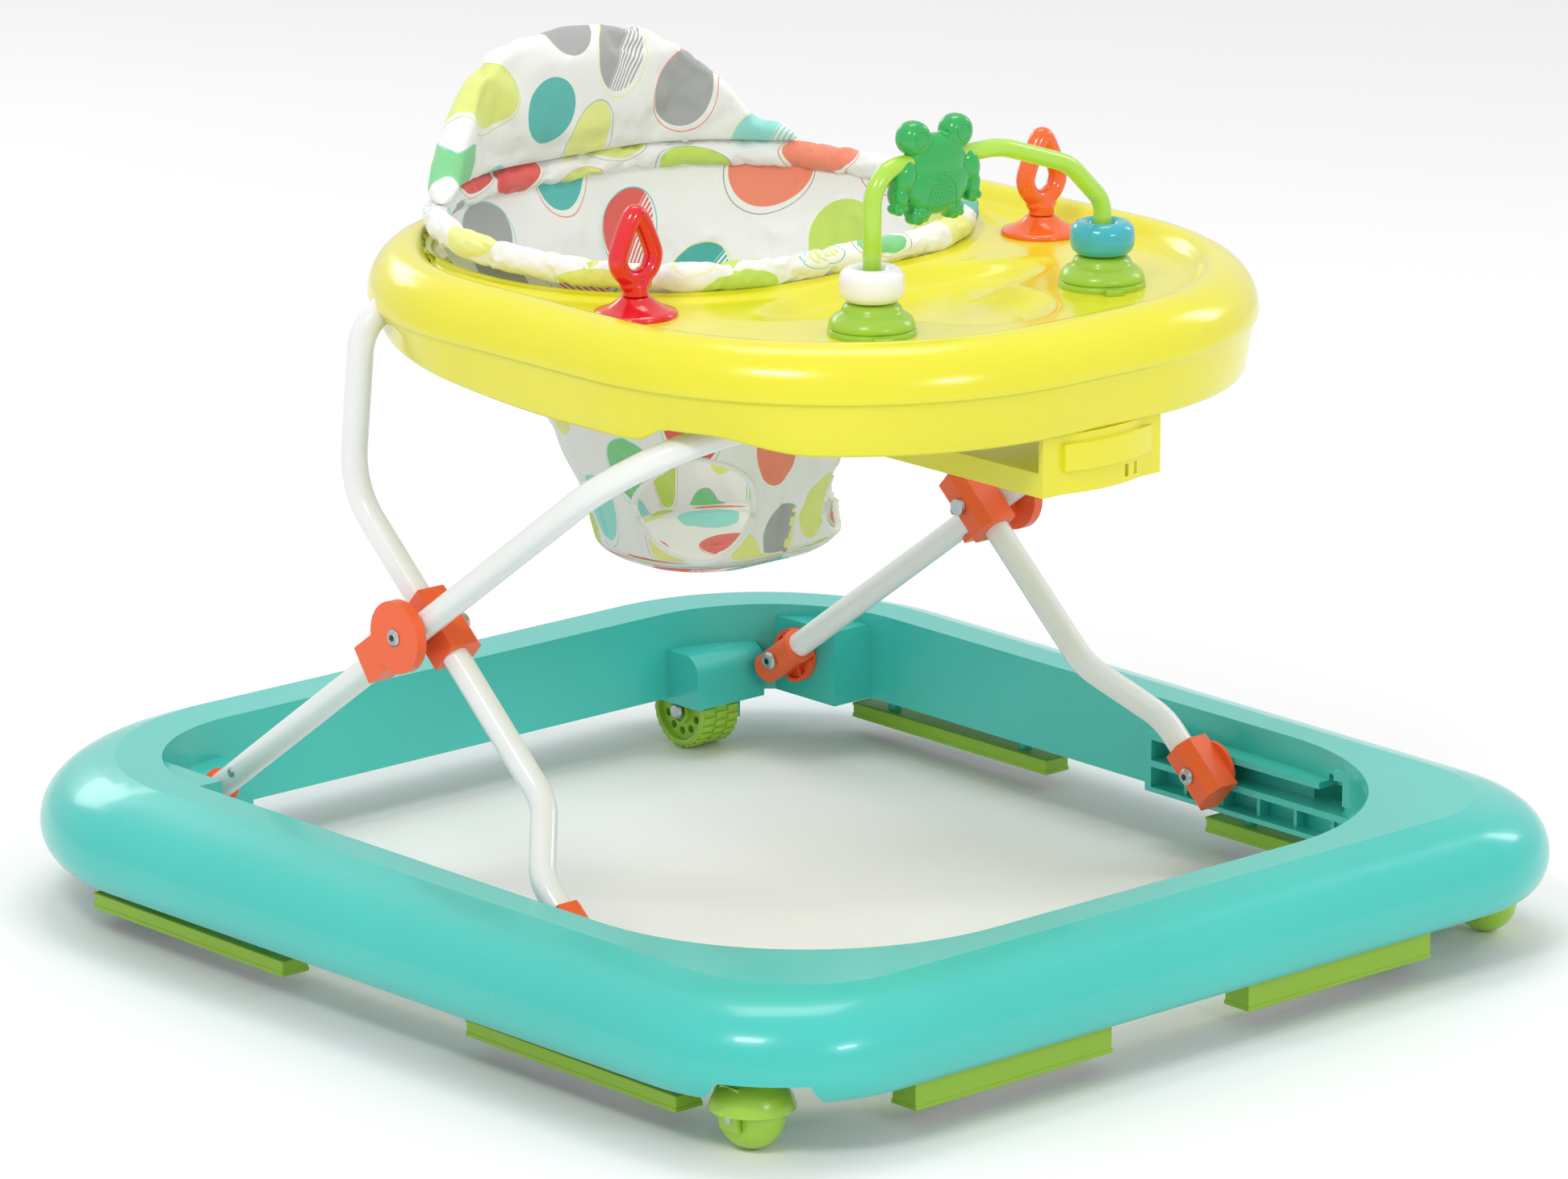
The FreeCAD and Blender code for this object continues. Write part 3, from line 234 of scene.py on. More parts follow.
def printed_cloth(name, cell=0.06, seed=0.0):
    """White polyester twill printed with ovals, each with a thin offset outline, some striped."""
    n = Nodes(name)
    uv = n.add("ShaderNodeUVMap").outputs["UV"]
    spin = n.add("ShaderNodeVectorRotate", {"Vector": uv, "Angle": 0.5}, rotation_type="Z_AXIS").outputs[0]
    shifted = n.add("ShaderNodeVectorMath", {0: spin, 1: (seed, seed * 0.7, 0)}, operation="ADD").outputs[0]
    cells = n.add("ShaderNodeTexVoronoi", {"Vector": shifted, "Scale": 1 / cell, "Randomness": 0.3},
                  voronoi_dimensions="2D")
    away = n.add("ShaderNodeVectorMath", {0: shifted, 1: cells.outputs["Position"]}, operation="SUBTRACT")
    hue = n.add("ShaderNodeSeparateColor", {"Color": cells.outputs["Color"]})
    turn = n.math("MULTIPLY_ADD", n.math("SUBTRACT", hue.outputs[0], 0.5), 1.3, 0.5)
    turned = n.add("ShaderNodeVectorRotate", {"Vector": away.outputs[0], "Angle": turn},
                   rotation_type="Z_AXIS").outputs[0]
    split = n.add("ShaderNodeSeparateXYZ", {"Vector": turned})
    x, y = split.outputs[0], split.outputs[1]

    def oval(dx, dy, wide, tall):
        px = n.math("DIVIDE", n.math("SUBTRACT", x, dx * cell), wide * cell)
        taper = n.math("MULTIPLY_ADD", y, 0.22 / cell, 1.0)
        px = n.math("MULTIPLY", px, taper)
        py = n.math("DIVIDE", n.math("SUBTRACT", y, dy * cell), tall * cell)
        return n.math("SQRT", n.math("ADD", n.math("MULTIPLY", px, px), n.math("MULTIPLY", py, py)))

    inside = n.math("LESS_THAN", oval(0, 0, 0.33, 0.40), 1.0)
    ring = n.math("COMPARE", oval(0.03, -0.02, 0.36, 0.43), 1.0, 0.014)
    stops = [(i / len(PALETTE), colour) for i, colour in enumerate(PALETTE)]
    colour = n.ramp(hue.outputs[1], stops, constant=True)
    other = n.ramp(hue.outputs[2], stops, constant=True)
    stripe = n.math("GREATER_THAN", n.math("SINE", n.math("MULTIPLY", x, TAU / 0.0026)), 0.0)
    half = n.math("GREATER_THAN", x, 0.001)
    chosen = n.math("GREATER_THAN", hue.outputs[2], 0.8)
    striped = n.math("MULTIPLY", n.math("MULTIPLY", stripe, half), chosen)
    cloth = srgb(243, 243, 241)
    weave_a = n.add("ShaderNodeTexWave", {"Vector": shifted, "Scale": 420.0, "Distortion": 0.6},
                    bands_direction="DIAGONAL").outputs["Fac"]
    fill = n.mix(striped, colour, cloth)
    base = n.mix(inside, cloth, fill)
    base = n.mix(n.math("MULTIPLY", ring, n.math("GREATER_THAN", hue.outputs[2], 0.35)), base, other)
    base = n.mix(n.math("MULTIPLY", weave_a, 0.06), base, srgb(190, 190, 190))
    n.put(n.shader.inputs["Base Color"], base)
    place = n.add("ShaderNodeTexCoord").outputs["Object"]
    n.put(n.shader.inputs["Roughness"], n.span(n.noise(place, 40, 3), 0.72, 0.86))
    threads = n.bump(weave_a, 0.0002, 0.5)
    n.put(n.shader.inputs["Normal"], n.bump(n.noise(place, 34, 3), 0.0022, 0.35, threads))
    n.shader.inputs["Sheen Weight"].default_value = 0.25
    n.shader.inputs["Sheen Roughness"].default_value = 0.5
    return n.material


MATERIALS = {
    "teal_plastic": plastic("teal_plastic", TEAL, 0.24, coat=0.25),
    "white_tube": enamel("white_tube", srgb(238, 240, 238)),
    "yellow_plastic": plastic("yellow_plastic", srgb(232, 225, 46), 0.2, coat=0.35, glow=0.05),
    "orange_plastic": plastic("orange_plastic", srgb(246, 100, 48), 0.34),
    "lime_plastic": plastic("lime_plastic", srgb(160, 204, 62), 0.26, coat=0.2),
    "lime_rubber": plastic("lime_rubber", srgb(158, 202, 58), 0.42),
    "zinc_steel": metal("zinc_steel", srgb(200, 202, 204)),
    "spring_steel": metal("spring_steel", srgb(180, 182, 186), 0.26),
    "hoop_steel": metal("hoop_steel", srgb(180, 182, 186), 0.35),
    "board_plastic": plastic("board_plastic", srgb(230, 230, 228), 0.5),
    "fabric_print": printed_cloth("fabric_print", 0.058, 0.31),
    "fabric_roll": printed_cloth("fabric_roll", 0.056, 1.7),
    "fabric_pouch": printed_cloth("fabric_pouch", 0.06, 2.6),
    "lime_rod": plastic("lime_rod", srgb(176, 222, 74), 0.18, coat=0.4, glow=0.1),
    "white_gloss": plastic("white_gloss", srgb(244, 244, 244), 0.15, coat=0.4),
    "teal_gloss": plastic("teal_gloss", srgb(60, 178, 196), 0.15, coat=0.4),
    "frog_green": plastic("frog_green", srgb(40, 172, 84), 0.16, coat=0.4, glow=0.08),
    "orange_gloss": plastic("orange_gloss", srgb(245, 104, 36), 0.14, coat=0.4, glow=0.1),
    "red_gloss": plastic("red_gloss", srgb(224, 24, 36), 0.12, coat=0.5, glow=0.1),
}
binding_white = plastic("binding_white", srgb(240, 241, 238), 0.78, grain=1.0)
# painted shade: a dark material that stands in for the shade inside the screw sockets
socket_painted_shade = plastic("socket_painted_shade", srgb(34, 38, 36), 0.6)

n = Nodes("pale_floor")
place = n.add("ShaderNodeTexCoord").outputs["Object"]
floor_tint = n.mix(n.noise(place, 1.5, 2), (0.93, 0.93, 0.93, 1), (0.96, 0.96, 0.96, 1))
n.put(n.shader.inputs["Base Color"], floor_tint)
n.shader.inputs["Roughness"].default_value = 0.6
floor_mesh.materials.append(n.material)

for row in frame["record"]["subparts"]:
    node = NODES[row["node"]]
    node.data.materials.clear()
    node.data.materials.append(MATERIALS[row["material_slot"]])


# ---------------------------------------------------------------------------
# Mesh helpers
# ---------------------------------------------------------------------------
def shade_smooth(obj):
    obj.data.polygons.foreach_set("use_smooth", [True] * len(obj.data.polygons))


def grid_object(name, grid):
    """Object in the scene with the mesh of a grid, which is freed."""
    mesh = bpy.data.meshes.new(name)
    grid.to_mesh(mesh)
    grid.free()
    obj = bpy.data.objects.new(name, mesh)
    scene.collection.objects.link(obj)
    return obj


def make(name, verts, faces, material):
    mesh = bpy.data.meshes.new(name)
    mesh.from_pydata([tuple(v) for v in verts], [], faces)
    mesh.validate()
    mesh.update()
    obj = bpy.data.objects.new(name, mesh)
    scene.collection.objects.link(obj)
    mesh.materials.append(material)
    shade_smooth(obj)
    return obj


def outward(obj, weld=0.0):
    """Makes the faces of a closed mesh look outwards, after joining points closer than weld."""
    grid = bmesh.new()
    grid.from_mesh(obj.data)
    if weld:
        bmesh.ops.remove_doubles(grid, verts=grid.verts, dist=weld)
    bmesh.ops.recalc_face_normals(grid, faces=grid.faces)
    grid.to_mesh(obj.data)
    grid.free()
    return obj


def loops_to_mesh(name, loops, material, close_ring=True, close_path=False, caps=False):
    """Skin over a list of point loops that all have the same count."""
    count = len(loops[0])
    verts = [p for loop in loops for p in loop]
    faces = []
    rows = len(loops) if close_path else len(loops) - 1
    around = count if close_ring else count - 1
    for i in range(rows):
        for j in range(around):
            a = i * count + j
            b = i * count + (j + 1) % count
            down = ((i + 1) % len(loops)) * count
            faces.append((a, b, down + (j + 1) % count, down + j))
    if caps:
        faces.append(tuple(range(count))[::-1])
        last = (len(loops) - 1) * count
        faces.append(tuple(range(last, last + count)))
    obj = make(name, verts, faces, material)
    return outward(obj) if (caps or (close_ring and close_path)) else obj


def lathe(name, profile, place, material, axis="Z", steps=64, wobble=None):
    """Turned form from (radius, height) pairs in mm; the profile closes on the axis or as a ring."""
    loops = []
    for radius, height in profile:
        loop = []
        for i in range(steps):
            turn = TAU * i / steps
            r = radius * (1 if wobble is None else wobble(turn, height))
            loop.append(Vector((r * math.cos(turn), r * math.sin(turn), height)) * MM)
        loops.append(loop)
    obj = loops_to_mesh(name, loops, material, close_path=profile[0][0] > 0.01 and profile[-1][0] > 0.01)
    if axis == "X":
        obj.data.transform(Matrix.Rotation(math.pi / 2, 4, "Y"))
    elif axis == "-X":
        obj.data.transform(Matrix.Rotation(-math.pi / 2, 4, "Y"))
    obj.data.transform(Matrix.Translation(Vector(place) * MM))
    return outward(obj, weld=1e-6)


def even_oval(count, half_width, half_length, centre_y, radius):
    """Points evenly spaced along a soft rectangle, starting at +X."""
    side_y = half_length - radius
    side_x = half_width - radius
    arc = math.pi / 2 * radius
    runs = [side_y, arc, 2 * side_x, arc, 2 * side_y, arc, 2 * side_x, arc, side_y]
    total = sum(runs)
    out = []
    for i in range(count):
        s = total * i / count
        k = 0
        while s > runs[k] and k < 8:
            s -= runs[k]
            k += 1
        turn = s / radius
        c, q = math.cos(turn), math.sin(turn)
        x, y = [
            (half_width, s),
            (side_x + radius * c, side_y + radius * q),
            (side_x - s, half_length),
            (-side_x - radius * q, side_y + radius * c),
            (-half_width, side_y - s),
            (-side_x - radius * c, -side_y - radius * q),
            (-side_x + s, -half_length),
            (side_x + radius * q, -side_y - radius * c),
            (half_width, -side_y + s),
        ][k]
        out.append(Vector((x, centre_y + y, 0)))
    return out


def smoothstep(value, low, high):
    t = min(1, max(0, (value - low) / (high - low)))
    return t * t * (3 - 2 * t)


def add_modifier(obj, kind, **settings):
    modifier = obj.modifiers.new(kind.lower(), kind)
    for key, value in settings.items():
        setattr(modifier, key, value)
    return modifier


def apply_modifiers(obj):
    """Turns the evaluated mesh into the object's own mesh."""
    graph = bpy.context.evaluated_depsgraph_get()
    mesh = bpy.data.meshes.new_from_object(obj.evaluated_get(graph))
    old = obj.data
    obj.modifiers.clear()
    obj.data = mesh
    bpy.data.meshes.remove(old)
    return obj


def box_piece(name, centre, size, width, material, turn=0.0):
    """Box with rounded edges, in mm, turned about Z."""
    bm = bmesh.new()
    bmesh.ops.create_cube(bm, size=1)
    bmesh.ops.scale(bm, vec=[s * MM for s in size], verts=bm.verts)
    bmesh.ops.bevel(bm, geom=bm.edges, offset=width * MM, segments=2, affect="EDGES", profile=0.5)
    obj = grid_object(name, bm)
    obj.data.transform(Matrix.Translation(Vector(centre) * MM) @ Matrix.Rotation(turn, 4, "Z"))
    obj.data.materials.append(material)
    return obj


def finish_piece(obj, body, slot, *nodes):
    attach(obj, body)
    if nodes:
        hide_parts(*nodes)
    return obj


def soften_cad(name, width=0.5, segments=2, angle=35):
    """Rounds the hard edges of a CAD node that stays in view."""
    node = NODES[name]
    shade_smooth(node)
    add_modifier(node, "WELD", merge_threshold=1e-5)
    add_modifier(node, "BEVEL", width=width * MM, segments=segments, limit_method="ANGLE",
                 angle_limit=math.radians(angle), harden_normals=False)
    add_modifier(node, "WEIGHTED_NORMAL", keep_sharp=True)


# ---------------------------------------------------------------------------
# Tray
# ---------------------------------------------------------------------------
TRAY = (217, 243, -29.5, 184)
HOLE = (156, 124, 62, 118)


def grown(oval, grow):
    return oval[0] + grow, oval[1] + grow, oval[2], oval[3] + grow


def skirt_edge(y):
    """Lower edge of the skirt: it rises to the rear and clears the frame where that passes."""
    notch = smoothstep(y, -212, -160) * (1 - smoothstep(y, -138, -118))
    return 336 + 21 * smoothstep(y, -60, 230) + 8.2 * notch


def deck_height(x, y):
    """Top of the play deck: flat with a kidney-shaped well between the toys."""
    back = 1 - math.hypot(x / 124, (y + 106) / 34)
    front = 1 - math.hypot(x / 52, (y + 160) / 56)
    well = smoothstep(max(back, front) + 0.08 * min(back, front), -0.02, 0.34)
    return 385 - 8.5 * well


def hole_spoke(p):
    """Nearest point of the hole's inner core, and the direction from it to p."""
    wide, long = HOLE[0] - HOLE[3], HOLE[1] - HOLE[3]
    near = Vector((max(-wide, min(wide, p.x)), max(HOLE[2] - long, min(HOLE[2] + long, p.y)), 0))
    return near, p - near


def clear_of_hole(p, grow=7):
    near, spoke = hole_spoke(p)
    least = HOLE[3] + grow
    return near + spoke.normalized() * least if spoke.length < least else p


def make_tray():
    rings = 240
    deck_inset, deck_level, rim_grow = 37.5, 385.2, 7
    profile = [
        (8.2, None, 0), (7.2, None, 0.3), (6.6, None, 1.6), (5.0, None, 12), (3.0, 361, 0), (2.4, 364.0, 0),
        (2.0, 365.2, 0), (0.6, 365.6, 0), (0.0, 366.6, 0), (0.0, 370, 0), (0.9, 375.5, 0), (3.2, 381.2, 0),
        (6.8, 386.4, 0), (11.6, 390.6, 0), (17.5, 393.6, 0), (23, 394.6, 0), (27, 394.2, 0),
        (30, 392.4, 0), (32.2, 389.6, 0), (34.4, 386.8, 0), (deck_inset, deck_level, 0),
    ]
    loops = []
    for inset, level, rise in profile:
        loop = []
        for p in even_oval(rings, *grown(TRAY, -inset)):
            z = level if level is not None else skirt_edge(p.y) + rise
            if inset > 15:
                p = clear_of_hole(p)
            loop.append(Vector((p.x, p.y, z)) * MM)
        loops.append(loop)
    outer = [clear_of_hole(p) for p in even_oval(rings, *grown(TRAY, -deck_inset))]
    rim = even_oval(4000, *grown(HOLE, rim_grow))
    angles = sorted(((math.atan2(q.y - HOLE[2], q.x), i) for i, q in enumerate(rim)))
    keys = [a for a, _ in angles]
    inner = []
    for p in outer:
        want = math.atan2(p.y - HOLE[2], p.x)
        k = bisect.bisect_left(keys, want) % len(keys)
        inner.append(rim[angles[k][1]])
    steps = 60
    for k in range(1, steps + 1):
        t = k / steps
        loop = []
        for a, b in zip(outer, inner):
            p = a.lerp(b, t)
            gap = (a - b).length
            z = deck_height(p.x, p.y) if gap > 30 else deck_level
            z = deck_level + (z - deck_level) * smoothstep(t * gap, 0, 10)
            z += 2.4 * smoothstep(t * gap, gap - 12, gap - 3)
            loop.append(Vector((p.x, p.y, z)) * MM)
        loops.append(loop)
    for grow, z in ((5.4, 388.2), (3.6, 388.5), (1.8, 388.1), (0.7, 386.9), (0.3, 384.5), (0.3, 371)):
        loop = []
        for b in inner:
            p = b + hole_spoke(b)[1].normalized() * (grow - rim_grow)
            loop.append(Vector((p.x, p.y, z)) * MM)
        loops.append(loop)
    obj = loops_to_mesh("tray_shell", loops, MATERIALS["yellow_plastic"])
    add_modifier(obj, "SOLIDIFY", thickness=2.4 * MM, offset=-1.0)
    return finish_piece(obj, "tray_unit", "yellow_plastic", "tray")


make_tray()

# ---------------------------------------------------------------------------
# Seat
# ---------------------------------------------------------------------------
ROLL_SLOPE = math.tan(math.radians(2.6))
# height of the back's top edge at distances from its middle
BACK_TOP = [(0, 493), (35, 492), (60, 485), (80, 472), (95, 458), (106, 447), (118, 429), (128, 416),
            (136, 412)]


def lumps(p, scale, seed=0.0):
    return noise.noise(Vector((p.x * scale + seed, p.y * scale, p.z * scale - seed)))


def table(rows, value):
    """Smooth reading from rows of (value, result)."""
    for (x0, y0), (x1, y1) in zip(rows, rows[1:]):
        if value <= x1:
            return y0 + (y1 - y0) * max(0, value - x0) / (x1 - x0)
    return rows[-1][1]


UNROLL_RADIUS = 140


def cloth_uv(q):
    """Unrolls the seat: distance round the hole against height."""
    turn = math.atan2(q.x, q.y - HOLE[2] * MM)
    return turn * UNROLL_RADIUS * MM, q.z


def set_uv(obj, rule):
    layer = obj.data.uv_layers.get("UVMap") or obj.data.uv_layers.new(name="UVMap")
    verts = obj.data.vertices
    period = TAU * UNROLL_RADIUS * MM
    for polygon in obj.data.polygons:
        coords = [rule(verts[v].co) for v in polygon.vertices]
        first = coords[0][0]
        for corner, (u, v) in zip(polygon.loop_indices, coords):
            if u - first > period / 2:
                u -= period
            elif first - u > period / 2:
                u += period
            layer.data[corner].uv = (u, v)


def inflate(obj, voxel, cap, pressure, steps=20, slack=-0.03, sewn=None):
    """Blows a padded form up as cloth, held where sewn(point) is true; no point moves more than cap mm."""
    add_modifier(obj, "REMESH", mode="VOXEL", voxel_size=voxel * MM, use_smooth_shade=True)
    apply_modifiers(obj)
    start = [v.co.copy() for v in obj.data.vertices]
    group = obj.vertex_groups.new(name="sewn")
    group.add([i for i, co in enumerate(start) if sewn(co / MM)], 1.0, "REPLACE")
    cloth = add_modifier(obj, "CLOTH")
    cloth.settings.quality = 6
    cloth.settings.mass = 0.2
    cloth.settings.tension_stiffness = 18
    cloth.settings.compression_stiffness = 18
    cloth.settings.shear_stiffness = 6
    cloth.settings.bending_stiffness = 0.12
    cloth.settings.shrink_min = slack
    cloth.settings.use_pressure = True
    cloth.settings.uniform_pressure_force = pressure
    cloth.settings.effector_weights.gravity = 0
    cloth.settings.vertex_group_mass = "sewn"
    cloth.point_cache.frame_start = 1
    cloth.point_cache.frame_end = steps
    for frame_number in range(1, steps + 1):
        scene.frame_set(frame_number)
    apply_modifiers(obj)
    scene.frame_set(1)
    for v, before in zip(obj.data.vertices, start):
        move = v.co - before
        if move.length > cap * MM:
            v.co = before + move.normalized() * cap * MM
    obj.vertex_groups.clear()
    shade_smooth(obj)
    return obj


def make_back():
    """Padded back: one closed cushion round the rear of the hole, creased where it is gathered."""
    path = even_oval(2000, *grown(HOLE, -4.5))
    arc = [p for p in path if p.y > 110 and abs(p.x) < 134]
    arc.sort(key=lambda p: math.atan2(p.x, p.y - HOLE[2]))
    count = 170
    section = 56
    low = 411.5
    loops = []
    length = 0.0
    before = arc[0]
    for i in range(count):
        p = arc[round(i * (len(arc) - 1) / (count - 1))]
        length += (p - before).length
        before = p
        normal = hole_spoke(p)[1].normalized()
        crest = table(BACK_TOP, abs(p.x)) + 1.6 * lumps(Vector((length, 0, 0)), 0.035)
        end = min(1, (i + 0.6) / 9, (count - 0.4 - i) / 9)
        half = 6.4 * math.sqrt(end)
        height = max(2.2 * half, crest - low)
        loop = []
        for j in range(section):
            t = j / section
            if t < 0.4:
                out, z = half, t / 0.4 * (height - half)
            elif t < 0.6:
                turn = math.pi * (t - 0.4) / 0.2
                out, z = half * math.cos(turn), height - half + half * math.sin(turn)
            else:
                out, z = -half, (1 - (t - 0.6) / 0.4) * (height - half)
            share = z / height
            belly = 1 + 0.32 * math.sin(math.pi * min(1, share * 1.05))
            flat = p + normal * out
            flat.z = z
            soft = smoothstep(z, 0, 16)
            crease = 2.6 * lumps(flat, 0.019, 4) + 1.5 * lumps(flat, 0.045, 9)
            pull = abs(lumps(Vector((length * 0.9, z * 0.25, out)), 0.06, 2))
            crease -= 2.2 * (1 - smoothstep(pull, 0.0, 0.10)) * (1 - smoothstep(z, 8, 46))
            lean = 4.5 * share ** 2
            q = p + normal * (out * belly - lean + crease * soft * (0.55 if out > 0 else 1))
            loop.append(Vector((q.x, q.y, low + z)) * MM)
        loops.append(loop)
    obj = loops_to_mesh("seat_back_cover", loops, MATERIALS["fabric_print"], caps=True)
    inflate(obj, 3.6, 6, 4.0, sewn=lambda q: q.z < low + 5 or seam_line(q))
    set_uv(obj, cloth_uv)
    add_modifier(obj, "SUBSURF", levels=1, render_levels=1)
    return finish_piece(obj, "tray_unit", "fabric_print", "seat_back", "seat_back_board")


def seam_line(q):
    """Two rows of stitches that run up the front of the back cushion."""
    return abs(abs(q.x) - 72) < 2.4 and q.z < 452


GATHERS = 26


def stitches(q):
    """True at the gathers of the roll."""
    return math.cos(GATHERS * math.atan2(q.x, q.y - HOLE[2])) > 0.93


def make_roll():
    """Padded roll on the rim of the hole, gathered at its stitches."""
    count = 360
    path = even_oval(count, *grown(HOLE, -2))
    loops = []
    for i, p in enumerate(path):
        ahead = (path[(i + 1) % count] - path[i - 1]).normalized()
        side = Vector((ahead.y, -ahead.x, 0))
        gather = 0.5 + 0.5 * math.cos(TAU * i / count * GATHERS)
        loop = []
        for j in range(24):
            turn = TAU * j / 24
            spot = Vector((p.x, p.y, 30 * turn))
            r = 8.1 + 1.0 * lumps(spot, 0.028) + 0.7 * lumps(spot, 0.11, 3) - 0.7 * gather ** 6
            q = p + side * (r * math.cos(turn) * 1.04)
            level = 400 + ROLL_SLOPE * (p.y - HOLE[2])
            loop.append(Vector((q.x, q.y, level + r * math.sin(turn))) * MM)
        loops.append(loop)
    obj = loops_to_mesh("seat_roll_cover", loops, MATERIALS["fabric_roll"], close_path=True)
    inflate(obj, 2.6, 2.6, 4.0, slack=-0.05, sewn=stitches)
    set_uv(obj, lambda q: (cloth_uv(q)[0], q.z * 1.6 + math.hypot(q.x, q.y - HOLE[2] * MM)))
    add_modifier(obj, "SUBSURF", levels=1, render_levels=1)
    return finish_piece(obj, "tray_unit", "fabric_roll", "seat_roll", "seat_hoop")


# level, half width, half length and centre of the pouch
POUCH = [(207, 58, 46, 50), (214, 70, 58, 50), (230, 75.5, 64.5, 51), (247, 80, 70, 52), (274, 89, 79, 54),
         (300, 98, 88, 56), (325, 114, 98, 58), (350, 131, 108, 60), (372, 143, 115, 61.3),
         (393, 150, 119, 62)]


def pouch_row(z):
    for (z0, a0, b0, y0), (z1, a1, b1, y1) in zip(POUCH, POUCH[1:]):
        if z <= z1:
            t = (z - z0) / (z1 - z0)
            return a0 + (a1 - a0) * t, b0 + (b1 - b0) * t, y0 + (y1 - y0) * t
    return POUCH[-1][1:]


LEG_RADIUS = 32
HEM_TOP = 0.38


def leg_axis(side):
    return Vector((side * 34, 50, 262)), Vector((side * 0.45, -1, -0.28)).normalized()


def leg_distance(p, side):
    """Distance from the axis of a leg hole, in mm; large behind the hole's start."""
    start, aim = leg_axis(side)
    d = p - start
    along = d.dot(aim)
    return 999 if along < 0 else (d - aim * along).length


def make_pouch():
    """Hanging seat: one sheet with a sewn floor and two leg holes, hemmed."""
    count, rows, seam_row = 184, 70, 66
    bottom, top = 207, 388
    verts = []
    for i in range(rows + 1):
        z = bottom + (top - bottom) * min(i, seam_row) / seam_row
        a, b, cy = pouch_row(z)
        for p in even_oval(count, a - 1.4, b - 1.4, cy, 0.88 * b - 1.4):
            if i > seam_row:
                # the last rows run up into the seam under the roll
                rise = (i - seam_row) / (rows - seam_row)
                seam = ROLL_SLOPE * (p.y - HOLE[2]) + 399
                out = Vector((p.x, p.y - cy, 0)).normalized()
                verts.append(Vector((p.x, p.y, top + (seam - top) * rise)) + out * (4.5 * rise))
                continue
            spot = Vector((p.x, p.y, z * 0.45))
            fold = 4.6 * lumps(spot, 0.026, 5) + 1.6 * lumps(spot, 0.07, 1)
            sag = abs(lumps(Vector((p.x, p.y, z * 0.12)), 0.045, 8))
            fold -= 2.4 * (1 - smoothstep(sag, 0, 0.12))
            amount = smoothstep(z, bottom, 236) * (1 - smoothstep(z, 368, top))
            out = Vector((p.x, p.y - cy, 0)).normalized()
            verts.append(p + out * ((fold - 2.4) * amount) + Vector((0, 0, z)))
    floor_rings = 9
    for k in range(1, floor_rings + 1):
        t = k / floor_rings if k < floor_rings else 0.985
        for j in range(count):
            p = verts[j].lerp(Vector((0, 50, bottom)), t)
            verts.append(Vector((p.x, p.y, 207.6 + 0.8 * math.sin(9 * t + p.x * 0.07))))
    faces = []

    def add(ids):
        middle = sum((verts[v] for v in ids), Vector()) / len(ids)
        if all(leg_distance(middle, side) > LEG_RADIUS - 1 for _, side in SIDES):
            faces.append(ids)

    for i in range(rows):
        for j in range(count):
            k = (j + 1) % count
            add((i * count + j, i * count + k, (i + 1) * count + k, (i + 1) * count + j))
    base = (rows + 1) * count
    for ring in range(floor_rings):
        upper = 0 if ring == 0 else base + (ring - 1) * count
        lower = base + ring * count
        for j in range(count):
            k = (j + 1) % count
            add((upper + k, upper + j, lower + j, lower + k))
    last = base + (floor_rings - 1) * count
    faces.append(tuple(range(last, last + count)))
    obj = make("seat_pouch_cloth", [v * MM for v in verts], faces, MATERIALS["fabric_pouch"])
    cloth = bmesh.new()
    cloth.from_mesh(obj.data)
    bmesh.ops.delete(cloth, geom=[v for v in cloth.verts if not v.link_faces], context="VERTS")
    # draw the ragged rim of each leg hole onto its true outline
    for v in cloth.verts:
        if not v.is_boundary or v.co.z > HEM_TOP:
            continue
        start, aim = leg_axis(1 if v.co.x > 0 else -1)
        foot = start + aim * (v.co / MM - start).dot(aim)
        away = (v.co / MM - foot).normalized()
        v.co = (foot + away * LEG_RADIUS) * MM
    cloth.to_mesh(obj.data)
    hems = hem_loops(cloth)
    cloth.free()
    set_uv(obj, lambda q: cloth_uv(q) if q.z > 0.215 else (q.x, q.y))
    add_modifier(obj, "SOLIDIFY", thickness=1.4 * MM, offset=0)
    add_modifier(obj, "SUBSURF", levels=1, render_levels=1)
    finish_piece(obj, "tray_unit", "fabric_pouch", "seat_pouch")
    for index, points in enumerate(hems):
        hem = sweep(f"leg_hem_{index}", points, 1.9 * MM, binding_white, closed=True)
        finish_piece(hem, "tray_unit", "fabric_pouch")


def hem_loops(grid):
    """Closed chains of the boundary edges below the tray."""
    edges = [e for e in grid.edges if e.is_boundary and all(v.co.z < HEM_TOP for v in e.verts)]
    links = {}
    for e in edges:
        for a, b in ((0, 1), (1, 0)):
            links.setdefault(e.verts[a].index, []).append(e.verts[b])
    grid.verts.ensure_lookup_table()
    chains = []
    seen = set()
    for start in sorted(links):
        if start in seen:
            continue
        chain = [start]
        seen.add(start)
        while True:
            following = [v.index for v in links[chain[-1]] if v.index not in seen]
            if not following:
                break
            chain.append(following[0])
            seen.add(following[0])
        if len(chain) > 12:
            chains.append([grid.verts[i].co.copy() for i in chain])
    return chains


def sweep(name, points, radius, material, closed=False, sides=10, deep=1.0):
    """Tube through points, as a mesh; deep stretches it along the path's sideways direction."""
    loops = []
    count = len(points)
    for i, p in enumerate(points):
        before = points[i - 1] if closed or i else p
        after = points[(i + 1) % count] if closed or i < count - 1 else p
        ahead = (after - before).normalized()
        side = ahead.cross(Vector((0, 1, 0)))
        if side.length < 0.05:
            side = ahead.cross(Vector((0, 0, 1)))
        side.normalize()
        top = side.cross(ahead).normalized()
        loops.append([p + side * radius * math.cos(TAU * j / sides)
                      + top * radius * deep * math.sin(TAU * j / sides) for j in range(sides)])
    return loops_to_mesh(name, loops, material, close_path=closed, caps=not closed)


make_back()
make_roll()
make_pouch()


